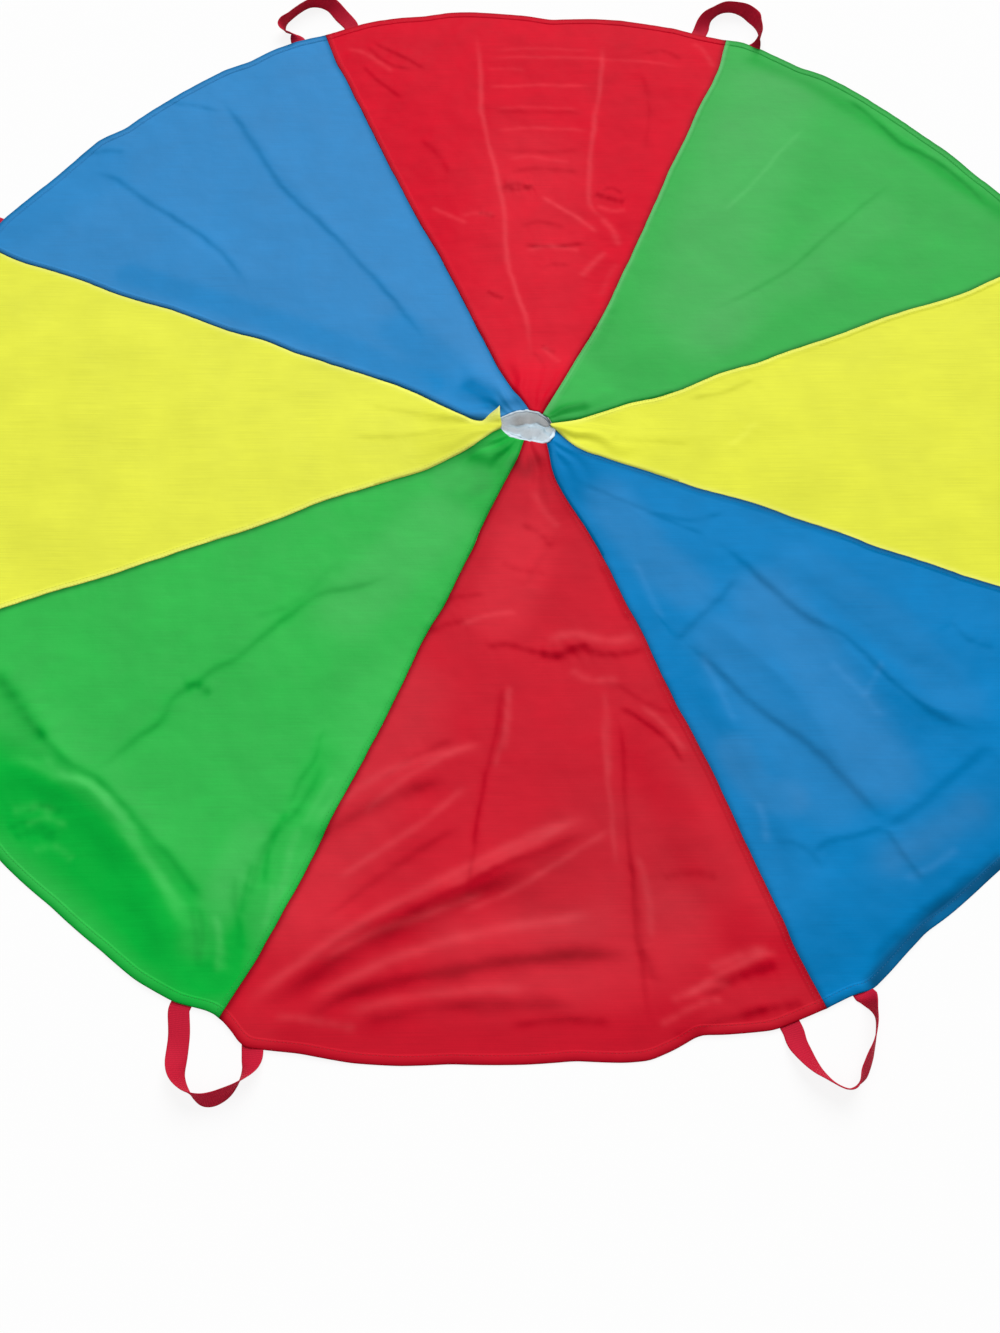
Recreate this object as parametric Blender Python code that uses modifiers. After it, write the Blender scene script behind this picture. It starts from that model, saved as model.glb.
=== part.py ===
"""A play parachute laid out on the floor.

Eight cloth gores run from a small net vent to a hemmed round rim. At the end of each seam a webbing
handle loops out from under the hem, flat where it is sewn in and turned on edge at its far end.

Lengths are in metres and +Z is up. The origin is on the floor, under the middle of the rim.
"""

import math

import bmesh
import bpy
from mathutils import Matrix, Vector

# Driving dimensions: the canopy
CANOPY_RADIUS = 0.900
GORE_COUNT = 8
CLOTH_THICKNESS = 0.0010
HEM_WIDTH = 0.012
HEM_THICKNESS = 0.0020
SEAM_BAND_WIDTH = 0.008
SEAM_BAND_THICKNESS = 0.0016
BAND_STEP = 0.0015

# Driving dimensions: the crown, which lies a little bunched up and off the middle
CROWN_OFFSET_X = 0.015
CROWN_OFFSET_Y = -0.005
CROWN_RISE = 0.018
CROWN_FLAT_RADIUS = 0.050
CROWN_SPREAD = 0.170
VENT_HALF_WIDTH = 0.042
VENT_HALF_DEPTH = 0.032
BINDING_WIDTH = 0.007
BINDING_THICKNESS = 0.0024
NET_PITCH = 0.006
NET_STRAND = 0.0012

# Driving dimensions: the webbing handles
WEBBING_WIDTH = 0.025
WEBBING_THICKNESS = 0.0015
HANDLE_SPAN = 0.096
HANDLE_REACH = 0.090
HANDLE_LEAD = 0.010
TAB_LENGTH = 0.025
CORNER_FLAT_RADIUS = 0.125
CORNER_SPREAD = 0.200

# The gap between pieces that touch or are sewn together
CLEARANCE = 0.0003

# Driving dimensions: the main folds of the laid cloth
TENSION_FOLD_HEIGHT = 0.009
TENSION_FOLD_HALF_WIDTH = 0.060
RIM_FOLD_HEIGHT = 0.012
RIM_FOLD_HALF_WIDTH = 0.055
CREASE_HEIGHT = 0.004
CREASE_HALF_WIDTH = 0.045

# How the cloth lies. Each seam ends a little off its even bearing, and each gore's rim is drawn in between
# its two handles by a share of the radius.
SEAM_LIE_DEGREES = (0.0, -1.0, -1.5, -1.0, 1.0, 0.0, 0.5, 1.0)
SEAM_END_SHARES = (1.0, 1.0, 1.0, 1.0, 1.0, 1.01, 1.0, 1.0)
RIM_DRAW_SHARES = (0.003, 0.003, 0.015, 0.012, 0.003, 0.004, 0.018, 0.020)
# The way each handle's loop lies, from its first sewn end to its second. A point is its share of half the
# span along the rim, and its share of the reach out from it.
HANDLE_ROUTE_SHARES = (
    ((-1.00, 0.35), (-0.60, 0.75), (0.10, 0.92), (0.75, 0.75), (0.95, 0.35)),
    ((-0.97, 0.33), (-0.65, 0.72), (-0.05, 0.84), (0.58, 0.70), (0.98, 0.35)),
    ((-1.24, 0.38), (-0.80, 0.68), (0.00, 0.88), (0.70, 0.72), (0.90, 0.36)),
    ((-1.02, 0.36), (-0.80, 0.72), (-0.15, 0.90), (0.60, 0.72), (1.05, 0.34)),
    ((-0.82, 0.35), (-0.35, 0.80), (0.35, 0.98), (0.95, 0.76), (1.18, 0.42)),
    ((-1.22, 0.42), (-1.00, 0.78), (-0.40, 1.00), (0.32, 0.80), (0.78, 0.33)),
    ((-0.92, 0.36), (-0.40, 0.72), (0.32, 1.00), (0.80, 0.74), (1.08, 0.33)),
    ((-1.05, 0.33), (-0.85, 0.70), (-0.20, 0.95), (0.62, 0.72), (0.92, 0.36)),
)

# The main folds, each through three points. A point is its bearing in degrees and its share of the radius.
TENSION_FOLD_SHARES = (
    ((249.5, 0.88), (261.0, 0.80), (279.0, 0.68)),
    ((309.0, 0.42), (310.0, 0.62), (306.0, 0.82)),
    ((324.0, 0.50), (319.0, 0.72), (323.0, 0.86)),
)
RIM_FOLD_SHARES = (
    ((208.0, 0.88), (224.0, 0.86), (240.0, 0.87)),
)
CREASE_SHARES = (
    ((125.0, 0.90), (126.0, 0.62), (129.0, 0.30)),
    ((142.0, 0.88), (144.0, 0.72), (146.0, 0.50)),
    ((93.0, 0.88), (94.0, 0.62), (95.0, 0.34)),
    ((53.0, 0.84), (54.0, 0.66), (56.0, 0.46)),
    ((225.0, 0.72), (225.0, 0.62), (224.0, 0.50)),
    ((272.0, 0.40), (280.0, 0.41), (289.0, 0.40)),
    ((47.0, 0.91), (38.0, 0.92), (29.0, 0.90)),
)

# The most of a gore's width that each seam band and each step beside it take, near the narrow tip
TIP_BAND_SHARE = 0.30
TIP_STEP_SHARE = 0.10

# Where along its loop the webbing starts to turn on edge, and where it is fully turned
FLAT_LEG_SHARE = 0.10
ON_EDGE_SHARE = 0.38

# Mesh counts
GORE_ROWS = 14
GORE_COLUMNS = 9
HANDLE_SEGMENTS = 27
ROUTE_STEPS = 8
VENT_SEGMENTS = 48

# The gores by bearing, from +X round by way of +Y
GORES = (
    ("gore_right_yellow", "yellow_cloth"),
    ("gore_back_right_green", "green_cloth"),
    ("gore_back_red", "red_cloth"),
    ("gore_back_left_blue", "blue_cloth"),
    ("gore_left_yellow", "yellow_cloth"),
    ("gore_front_left_green", "green_cloth"),
    ("gore_front_red", "red_cloth"),
    ("gore_front_right_blue", "blue_cloth"),
)
COLOURS = {
    "red_cloth": (0.62, 0.018, 0.035),
    "green_cloth": (0.045, 0.45, 0.085),
    "yellow_cloth": (0.80, 0.84, 0.060),
    "blue_cloth": (0.020, 0.24, 0.58),
    "red_webbing": (0.52, 0.016, 0.040),
    "white_binding": (0.80, 0.84, 0.88),
    "white_net": (0.72, 0.78, 0.84),
}

# Derived sizes
CROWN = Vector((CROWN_OFFSET_X, CROWN_OFFSET_Y, 0.0))
TAB_LIFT = WEBBING_THICKNESS + CLEARANCE
HINGE_HEIGHT = TAB_LIFT + HEM_THICKNESS / 2
GORE_ANGLE = 360.0 / GORE_COUNT
WELD_DISTANCE = CLEARANCE / 10


def seam_bearing(seam):
    """Bearing in degrees of the rim end of a seam. Seams past the last one carry on round the circle."""
    turns, index = divmod(seam, GORE_COUNT)
    return 360.0 * turns + GORE_ANGLE * (index + 0.5) + SEAM_LIE_DEGREES[index]


def on_bearing(bearing, radius):
    angle = math.radians(bearing)
    return Vector((radius * math.cos(angle), radius * math.sin(angle), 0.0))


def seam_end(seam):
    """The rim point where a seam ends."""
    return on_bearing(seam_bearing(seam), CANOPY_RADIUS * SEAM_END_SHARES[seam % GORE_COUNT])


def rim_point(gore, across):
    """A point of a gore's rim, across running from 0 at its first seam to 1 at its second."""
    first, second = gore - 1, gore
    bearing = seam_bearing(first) * (1 - across) + seam_bearing(second) * across
    ends = SEAM_END_SHARES[first % GORE_COUNT] * (1 - across) + SEAM_END_SHARES[second % GORE_COUNT] * across
    drawn = 4 * across * (1 - across) * RIM_DRAW_SHARES[gore]
    return on_bearing(bearing, CANOPY_RADIUS * (ends - drawn))


def vent_point(gore, across):
    """A point of a gore's inner edge, on the oval of the vent."""
    bearing = seam_bearing(gore - 1) * (1 - across) + seam_bearing(gore) * across
    angle = math.radians(bearing)
    return CROWN + Vector((VENT_HALF_WIDTH * math.cos(angle), VENT_HALF_DEPTH * math.sin(angle), 0.0))


def gore_point(gore, across, along):
    """A point of a gore on the floor, along running from 0 at the vent to 1 at the rim."""
    return vent_point(gore, across).lerp(rim_point(gore, across), along)


def smooth_fall(distance, flat, spread):
    """1 within flat, 0 past spread, and smooth between them."""
    if distance <= flat:
        return 1.0
    if distance >= spread:
        return 0.0
    share = (spread - distance) / (spread - flat)
    return share * share * (3 - 2 * share)


def segment_distance(point, start, end):
    """Distance in plan from a point to a straight stretch."""
    run = end - start
    along = max(0.0, min(1.0, (point - start).dot(run) / run.length_squared))
    return (point - start - run * along).length


def fold_routes():
    """Each fold as its route on the floor, its height and its half width."""
    kinds = (
        (TENSION_FOLD_SHARES, TENSION_FOLD_HEIGHT, TENSION_FOLD_HALF_WIDTH),
        (RIM_FOLD_SHARES, RIM_FOLD_HEIGHT, RIM_FOLD_HALF_WIDTH),
        (CREASE_SHARES, CREASE_HEIGHT, CREASE_HALF_WIDTH),
    )
    for route_shares, height, half_width in kinds:
        for points in route_shares:
            route = [on_bearing(bearing, CANOPY_RADIUS * share) for bearing, share in points]
            yield route, height, half_width


def cloth_height(point, routes):
    """Height of the cloth's underside above the floor at a point in plan."""
    height = CROWN_RISE * smooth_fall((point - CROWN).length, CROWN_FLAT_RADIUS, CROWN_SPREAD)
    for seam in range(GORE_COUNT):
        distance = (point - seam_end(seam)).length
        height += TAB_LIFT * smooth_fall(distance, CORNER_FLAT_RADIUS, CORNER_SPREAD)
    for route, fold_height, half_width in routes:
        distance = min(segment_distance(point, a, b) for a, b in zip(route, route[1:]))
        height += fold_height * smooth_fall(distance, 0.0, half_width)
    return height


def row_shares(length):
    """Where a gore's rows lie along its length: even to the hem, with a short step up to it."""
    hem = 1 - HEM_WIDTH / length
    even_end = hem - BAND_STEP / length
    return [even_end * row / GORE_ROWS for row in range(GORE_ROWS + 1)] + [hem, 1.0]


def column_shares(width):
    """Where a gore's columns lie across it: a band along each seam, and even columns between."""
    edge = CLEARANCE / 2 / width
    band = edge + min(SEAM_BAND_WIDTH / width, TIP_BAND_SHARE)
    start = band + min(BAND_STEP / width, TIP_STEP_SHARE)
    even = [start + (1 - 2 * start) * column / GORE_COLUMNS for column in range(GORE_COLUMNS + 1)]
    return [edge, band] + even + [1 - band, 1 - edge]


def new_object(name, data, collection, material):
    obj = bpy.data.objects.new(name, data)
    data.materials.append(material)
    collection.objects.link(obj)
    return obj


def mesh_object(name, bm, collection, material):
    mesh = bpy.data.meshes.new(name)
    bmesh.ops.recalc_face_normals(bm, faces=bm.faces)
    bm.to_mesh(mesh)
    bm.free()
    mesh.shade_smooth()
    return new_object(name, mesh, collection, material)


def make_gore(gore, name, collection, material, routes):
    """One gore: a grid laid on the cloth's underside and drawn up to its thickness."""
    rows = GORE_ROWS + 2
    columns = GORE_COLUMNS + 4
    length = (rim_point(gore, 0.5) - vent_point(gore, 0.5)).length
    along = row_shares(length)

    bm = bmesh.new()
    bmesh.ops.create_grid(bm, x_segments=columns, y_segments=rows, size=0.5)
    thickness = {}
    for vert in bm.verts:
        column = round((vert.co.x + 0.5) * columns)
        row = round((vert.co.y + 0.5) * rows)
        width = (gore_point(gore, 1, along[row]) - gore_point(gore, 0, along[row])).length
        vert.co = gore_point(gore, column_shares(width)[column], along[row])
        vert.co.z = cloth_height(vert.co, routes)
        if row >= rows - 1:
            thickness[tuple(vert.co)] = HEM_THICKNESS
        elif column in (0, 1, columns - 1, columns):
            thickness[tuple(vert.co)] = SEAM_BAND_THICKNESS
        else:
            thickness[tuple(vert.co)] = CLOTH_THICKNESS

    raised = bmesh.ops.extrude_face_region(bm, geom=bm.faces[:])["geom"]
    for vert in raised:
        if isinstance(vert, bmesh.types.BMVert):
            vert.co.z += thickness[tuple(vert.co)]
    return mesh_object(name, bm, collection, material)


def oval_spline(curve, half_width, half_depth):
    """A closed oval outline in a flat curve."""
    spline = curve.splines.new("POLY")
    spline.points.add(VENT_SEGMENTS - 1)
    for index, point in enumerate(spline.points):
        angle = math.tau * index / VENT_SEGMENTS
        point.co = (half_width * math.cos(angle), half_depth * math.sin(angle), 0.0, 1.0)
    spline.use_cyclic_u = True


def oval_plate(name, outer, inner, thickness, collection, material):
    """A flat oval plate standing on the crown, with an oval hole where inner is given."""
    curve = bpy.data.curves.new(name, "CURVE")
    curve.dimensions = "2D"
    curve.fill_mode = "BOTH"
    curve.extrude = thickness / 2
    oval_spline(curve, *outer)
    if inner:
        oval_spline(curve, *inner)
    obj = new_object(name, curve, collection, material)
    obj.location = CROWN + Vector((0.0, 0.0, CROWN_RISE + thickness / 2))
    return obj


def curve_to_mesh(obj):
    """Turns a curve object into a mesh object of the same name and place, with its caps welded on."""
    bpy.context.view_layer.update()
    evaluated = obj.evaluated_get(bpy.context.evaluated_depsgraph_get())
    mesh = bpy.data.meshes.new_from_object(evaluated)
    bm = bmesh.new()
    bm.from_mesh(mesh)
    bmesh.ops.remove_doubles(bm, verts=bm.verts, dist=WELD_DISTANCE)
    bmesh.ops.recalc_face_normals(bm, faces=bm.faces)
    bm.to_mesh(mesh)
    bm.free()
    name, place, collection = obj.name, obj.matrix_world.copy(), obj.users_collection[0]
    bpy.data.objects.remove(obj)
    made = bpy.data.objects.new(name, mesh)
    made.matrix_world = place
    collection.objects.link(made)
    return made


def make_vent(collection, cutters, materials):
    """The vent: a tape binding inside the gores' tips, and a square net inside the binding."""
    outer = (VENT_HALF_WIDTH - CLEARANCE, VENT_HALF_DEPTH - CLEARANCE)
    inner = tuple(half - BINDING_WIDTH for half in outer)
    oval_plate("vent_binding", outer, inner, BINDING_THICKNESS, collection, materials["white_binding"])

    net_half = tuple(half - CLEARANCE for half in inner)
    cutter = curve_to_mesh(
        oval_plate("vent_net_outline", net_half, None, BINDING_THICKNESS, cutters, materials["white_net"])
    )
    cutter.hide_render = True
    cutter.display_type = "WIRE"

    cells = 2 * math.ceil(net_half[0] / NET_PITCH)
    bm = bmesh.new()
    bmesh.ops.create_grid(bm, x_segments=cells, y_segments=cells, size=cells * NET_PITCH / 2)
    net = mesh_object("vent_net", bm, collection, materials["white_net"])
    net.location = CROWN + Vector((0.0, 0.0, CROWN_RISE + BINDING_THICKNESS / 2))
    strands = net.modifiers.new("strands", "WIREFRAME")
    strands.thickness = NET_STRAND
    strands.use_replace = True
    trim = net.modifiers.new("trim", "BOOLEAN")
    trim.operation = "INTERSECT"
    trim.object = cutter


def handle_frame(seam):
    """The frame of a handle: x along the rim, y outward, with its origin on the hinge line."""
    place = seam_end(seam) + Vector((0.0, 0.0, HINGE_HEIGHT))
    turn = Matrix.Rotation(math.radians(seam_bearing(seam) - 90.0), 4, "Z")
    return Matrix.Translation(place) @ turn


def smooth_route(points, steps):
    """Points along a curve through the given ones, with its first and last stretch straight."""
    route = [points[0]]
    for before, start, end, after in zip(points, points[1:], points[2:], points[3:]):
        slope = end - before
        bend = before * 2 - start * 5 + end * 4 - after
        twist = start * 3 - before - end * 3 + after
        for step in range(steps):
            t = step / steps
            route.append(start + (slope * t + bend * t**2 + twist * t**3) / 2)
    return route + points[-2:]


def even_steps(route, count):
    """The route again, as count equal steps."""
    reached = [0.0]
    for start, end in zip(route, route[1:]):
        reached.append(reached[-1] + (end - start).length)
    stops = []
    stretch = 0
    for step in range(count + 1):
        target = reached[-1] * step / count
        while stretch < len(route) - 2 and reached[stretch + 1] < target:
            stretch += 1
        share = (target - reached[stretch]) / (reached[stretch + 1] - reached[stretch])
        stops.append(route[stretch].lerp(route[stretch + 1], share))
    return stops


def handle_route(seam):
    """The middle line of a handle's loop in plan, in the handle's own frame, clear of its sewn ends."""
    half_span = HANDLE_SPAN / 2
    lead = CLEARANCE + HANDLE_LEAD
    points = [Vector((-half_span, CLEARANCE)), Vector((-half_span, lead))]
    points += [Vector((half_span * along, HANDLE_REACH * out)) for along, out in HANDLE_ROUTE_SHARES[seam]]
    points += [Vector((half_span, lead)), Vector((half_span, CLEARANCE))]
    return even_steps(smooth_route(points, ROUTE_STEPS), HANDLE_SEGMENTS)


def quarter_turn(share):
    """How far the webbing is turned on edge: flat at the loop's ends, a quarter turn over its middle."""
    near_end = min(share, 1 - share)
    return math.pi / 2 * (1 - smooth_fall(near_end, FLAT_LEG_SHARE, ON_EDGE_SHARE))


def make_handle_loop(seam, collection, material):
    """The free loop of a handle: a flat ribbon on its route, turned on edge over its middle."""
    curve = bpy.data.curves.new(f"handle_loop_{seam + 1}", "CURVE")
    curve.dimensions = "3D"
    curve.twist_mode = "Z_UP"
    curve.extrude = WEBBING_WIDTH / 2
    spline = curve.splines.new("POLY")
    spline.points.add(HANDLE_SEGMENTS)
    for index, (point, place) in enumerate(zip(spline.points, handle_route(seam))):
        turn = quarter_turn(index / HANDLE_SEGMENTS)
        height = WEBBING_WIDTH / 2 * math.sin(turn) + WEBBING_THICKNESS / 2 * math.cos(turn)
        point.co = (*place, height - HINGE_HEIGHT, 1.0)
        point.tilt = math.pi / 2 - turn
    loop = new_object(curve.name, curve, collection, material)
    loop.matrix_world = handle_frame(seam)
    webbing = loop.modifiers.new("webbing", "SOLIDIFY")
    webbing.thickness = WEBBING_THICKNESS
    webbing.offset = 0.0


def make_handle_tab(seam, side, collection, material):
    """One sewn end of a handle, flat on the floor under the hem. side is -1 or 1."""
    bm = bmesh.new()
    bmesh.ops.create_cube(bm, size=1.0)
    bmesh.ops.scale(bm, verts=bm.verts, vec=(WEBBING_WIDTH, TAB_LENGTH, WEBBING_THICKNESS))
    name = f"handle_tab_{seam + 1}{'a' if side < 0 else 'b'}"
    tab = mesh_object(name, bm, collection, material)
    centre = Vector((side * HANDLE_SPAN / 2, -TAB_LENGTH / 2, WEBBING_THICKNESS / 2 - HINGE_HEIGHT))
    tab.matrix_world = handle_frame(seam) @ Matrix.Translation(centre)


def make_material(name, colour):
    material = bpy.data.materials.new(name)
    material.use_nodes = True
    shader = material.node_tree.nodes["Principled BSDF"]
    shader.inputs["Base Color"].default_value = (*colour, 1.0)
    shader.inputs["Roughness"].default_value = 0.7 if "cloth" in name else 0.85
    shader.inputs["Metallic"].default_value = 0.0
    return material


def clear_scene():
    for obj in list(bpy.data.objects):
        bpy.data.objects.remove(obj)


def main():
    clear_scene()
    parachute = bpy.data.collections.new("play_parachute")
    cutters = bpy.data.collections.new("cutters")
    bpy.context.scene.collection.children.link(parachute)
    bpy.context.scene.collection.children.link(cutters)
    materials = {name: make_material(name, colour) for name, colour in COLOURS.items()}

    routes = list(fold_routes())
    for gore, (name, cloth) in enumerate(GORES):
        make_gore(gore, name, parachute, materials[cloth], routes)
    make_vent(parachute, cutters, materials)
    for seam in range(GORE_COUNT):
        make_handle_loop(seam, parachute, materials["red_webbing"])
        for side in (-1, 1):
            make_handle_tab(seam, side, parachute, materials["red_webbing"])


main()
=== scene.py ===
"""The looks of a play parachute laid out on the floor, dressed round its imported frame.

Each gore is one thin closed sheet of taffeta with its hem, felled seam, creases and puckers. Lengths are in
metres, apart from the tables that say millimetres, and +Z is up.
"""

import math

import bpy
import numpy as np
from mathutils import Matrix, Vector


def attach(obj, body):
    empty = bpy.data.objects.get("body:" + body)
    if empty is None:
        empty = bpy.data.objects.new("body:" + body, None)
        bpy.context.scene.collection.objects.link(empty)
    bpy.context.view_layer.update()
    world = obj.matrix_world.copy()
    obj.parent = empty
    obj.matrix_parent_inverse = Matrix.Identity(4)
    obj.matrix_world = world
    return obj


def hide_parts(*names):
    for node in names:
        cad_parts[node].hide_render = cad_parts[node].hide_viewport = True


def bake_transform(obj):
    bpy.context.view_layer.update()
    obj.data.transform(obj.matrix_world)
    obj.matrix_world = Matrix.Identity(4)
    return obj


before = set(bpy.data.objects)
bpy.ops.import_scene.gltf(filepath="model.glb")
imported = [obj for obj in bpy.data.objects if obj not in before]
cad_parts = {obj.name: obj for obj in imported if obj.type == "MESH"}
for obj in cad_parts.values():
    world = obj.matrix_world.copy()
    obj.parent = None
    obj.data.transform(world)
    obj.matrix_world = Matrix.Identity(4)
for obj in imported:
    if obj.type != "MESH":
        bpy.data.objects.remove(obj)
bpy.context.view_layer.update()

# Sizes that the CAD model has too
CANOPY_RADIUS = 0.900
GORE_COUNT = 8
CROWN = np.array((0.015, -0.005))
CROWN_RISE = 0.018
CROWN_FLAT_RADIUS = 0.050
CROWN_SPREAD = 0.170
VENT_HALF_WIDTH = 0.042
VENT_HALF_DEPTH = 0.032
HEM_THICKNESS = 0.0020
WEBBING_WIDTH = 0.025
WEBBING_THICKNESS = 0.0015
HANDLE_SPAN = 0.096
HANDLE_REACH = 0.090
HANDLE_LEAD = 0.010
TAB_LENGTH = 0.025
CORNER_FLAT_RADIUS = 0.125
CORNER_SPREAD = 0.200
CLEARANCE = 0.0003
SEAM_LIE_DEGREES = (0.0, -1.0, -1.5, -1.0, 1.0, 0.0, 0.5, 1.0)
SEAM_END_SHARES = (1.0, 1.0, 1.0, 1.0, 1.0, 1.01, 1.0, 1.0)
RIM_DRAW_SHARES = (0.003, 0.003, 0.015, 0.012, 0.003, 0.004, 0.018, 0.020)
HANDLE_ROUTE_SHARES = (
    ((-1.00, 0.35), (-0.60, 0.75), (0.10, 0.92), (0.75, 0.75), (0.95, 0.35)),
    ((-0.97, 0.33), (-0.62, 0.74), (-0.05, 0.84), (0.62, 0.72), (1.10, 0.30)),
    ((-1.38, 0.36), (-0.95, 0.62), (-0.05, 0.85), (0.58, 0.72), (0.84, 0.36)),
    ((-1.02, 0.36), (-0.80, 0.72), (-0.15, 0.90), (0.60, 0.72), (1.05, 0.34)),
    ((-0.82, 0.35), (-0.35, 0.80), (0.35, 0.98), (0.95, 0.76), (1.18, 0.42)),
    ((-1.25, 0.45), (-1.04, 0.82), (-0.52, 1.03), (0.24, 0.88), (0.72, 0.38)),
    ((-0.92, 0.40), (-0.42, 0.74), (0.42, 1.05), (0.92, 0.72), (1.06, 0.33)),
    ((-1.05, 0.33), (-0.85, 0.70), (-0.20, 0.95), (0.62, 0.72), (0.92, 0.36)),
)

# The main folds, each kind as its rise, its half width, the share of that rise kept here, and its routes as
# bearing and share of the canopy's radius
FOLDS = (
    (0.009, 0.060, 0.55, (
        ((249.5, 0.88), (261.0, 0.80), (279.0, 0.68)),
        ((309.0, 0.42), (310.0, 0.62), (306.0, 0.82)),
        ((324.0, 0.50), (319.0, 0.72), (323.0, 0.86)),
    )),
    (0.012, 0.055, 0.45, (((208.0, 0.88), (224.0, 0.86), (240.0, 0.87)),)),
    (0.004, 0.045, 0.30, (
        ((125.0, 0.90), (126.0, 0.62), (129.0, 0.30)),
        ((142.0, 0.88), (144.0, 0.72), (146.0, 0.50)),
        ((93.0, 0.88), (94.0, 0.62), (95.0, 0.34)),
        ((53.0, 0.84), (54.0, 0.66), (56.0, 0.46)),
        ((225.0, 0.72), (225.0, 0.62), (224.0, 0.50)),
        ((272.0, 0.40), (280.0, 0.41), (289.0, 0.40)),
        ((47.0, 0.91), (38.0, 0.92), (29.0, 0.90)),
    )),
)

# Sizes of the cloth's finer form
CLOTH = 0.0005
HEM = 0.0016
FELL = 0.0013
HEM_WIDTH = 0.012
FELL_WIDTH = 0.008
HEM_ROW = 0.0102
FELL_ROWS = (0.0016, 0.0064)
HEM_CHORD = 0.70
FELL_ROW_START = 0.05
FELL_ROW_END = 0.001
STITCH_PITCH = 0.0046
STITCH_GAP_SHARE = 0.14
STITCH_RADIUS = 0.00028
STITCH_LIFT = 0.00012
STITCH_GROOVE = 0.00022
EDGE_GAP = 0.00005
UNDERSIDE_GAP = 0.0001
SEAM_SWAY = 0.0007
PUFF = 0.0026
WAVE_HEIGHT = 0.0011
COARSE_CRUMPLE = 0.00050
FINE_CRUMPLE = 0.00018
SEAM_PUCKER = 0.00042
RIM_PUCKER = 0.00055
RIM_DIP = 0.0009
PLEAT_HEIGHT = 0.0012
TIP_RISE = 0.0030
FLOOR_SOFTNESS = 0.0006
FOLD_ROUNDING = 0.005

# How a crease of each kind scales its half width, its slope and the painted shade or highlight along it
DARK_CREASE = (0.75, 1.5, -0.42)
PALE_CREASE = (0.85, 1.15, 0.26)
# How much painted sheen a dark crease takes away, and how much a pale one adds
CREASE_SHEEN_LOSS = 2.4
CREASE_PAINTED_SHEEN = 0.09

# How painted shade, highlight and sheen change the cloth's colour at its edges, and a random mottle over its face
PAINTED_EDGE_SHADE_WIDTH = 0.0052
RIM_PAINTED_SHADE = 0.36
EDGE_PAINTED_HIGHLIGHT = 0.09
MOTTLE = 0.032

# How far the rim lies outside its even line, in millimetres, by bearing in degrees
RIM_WAVE = (
    (0, 1), (6, -1), (12, 2), (17, 0), (22.5, 0), (28, 1), (34.8, -3.5), (38.5, -1.5), (41.8, -3), (45.2, -1.4),
    (48.6, 1.3), (51.8, 5), (55, 7), (57.7, -1), (60.9, 3), (62.5, 7), (65, 9), (66.5, 2), (69, 0), (72.2, 5),
    (75, 5.5), (78.5, 9), (81.5, 6), (86, -2.8), (88.8, 5.5), (91.6, 11), (94.3, 16.5), (97, 19), (99.8, 13.5),
    (103, 14.5), (106, 13), (109.5, 3), (111, 0), (114, 6), (117, 6), (120, 0), (122.8, 7), (126, 4.4), (129.2, 1.8),
    (132.6, 0), (136, -3.6), (138.9, 6.4), (142.6, 1.3), (146.4, -2), (149.9, 1), (152.9, 5), (156.5, 0), (163, 1),
    (171, -1), (180, 1.5), (188, -1), (196, 1), (203.5, 0), (212, 3), (219, 2), (225.8, 5.9), (228.7, 3.9),
    (231.4, 1.5), (236.9, 4.3), (240.5, 10), (244, 9), (245.5, 3.4), (246.5, 0), (247.4, 1), (248.1, 6), (248.6, 11),
    (249.3, 18), (249.8, 25), (250.3, 25.5), (252.2, 21.4), (254, 18), (257.7, 17.8), (261.2, 13.8), (264.8, 7),
    (270.2, 6), (273.9, 4.2), (277.5, 11.5), (279.3, 12.5), (281.2, 5), (283.3, -6.2), (285.1, -0.6), (288.7, 8),
    (291.5, 4), (293.1, 2), (295.2, 4.5), (296.1, 8), (296.7, 11.5), (298, 8), (299.3, 4), (300.5, 0), (303, -6),
    (305.5, -4), (310, -3.5), (318, 2), (327, -1), (338, 0), (345, 1), (353, -1), (360, 1),
)
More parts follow.
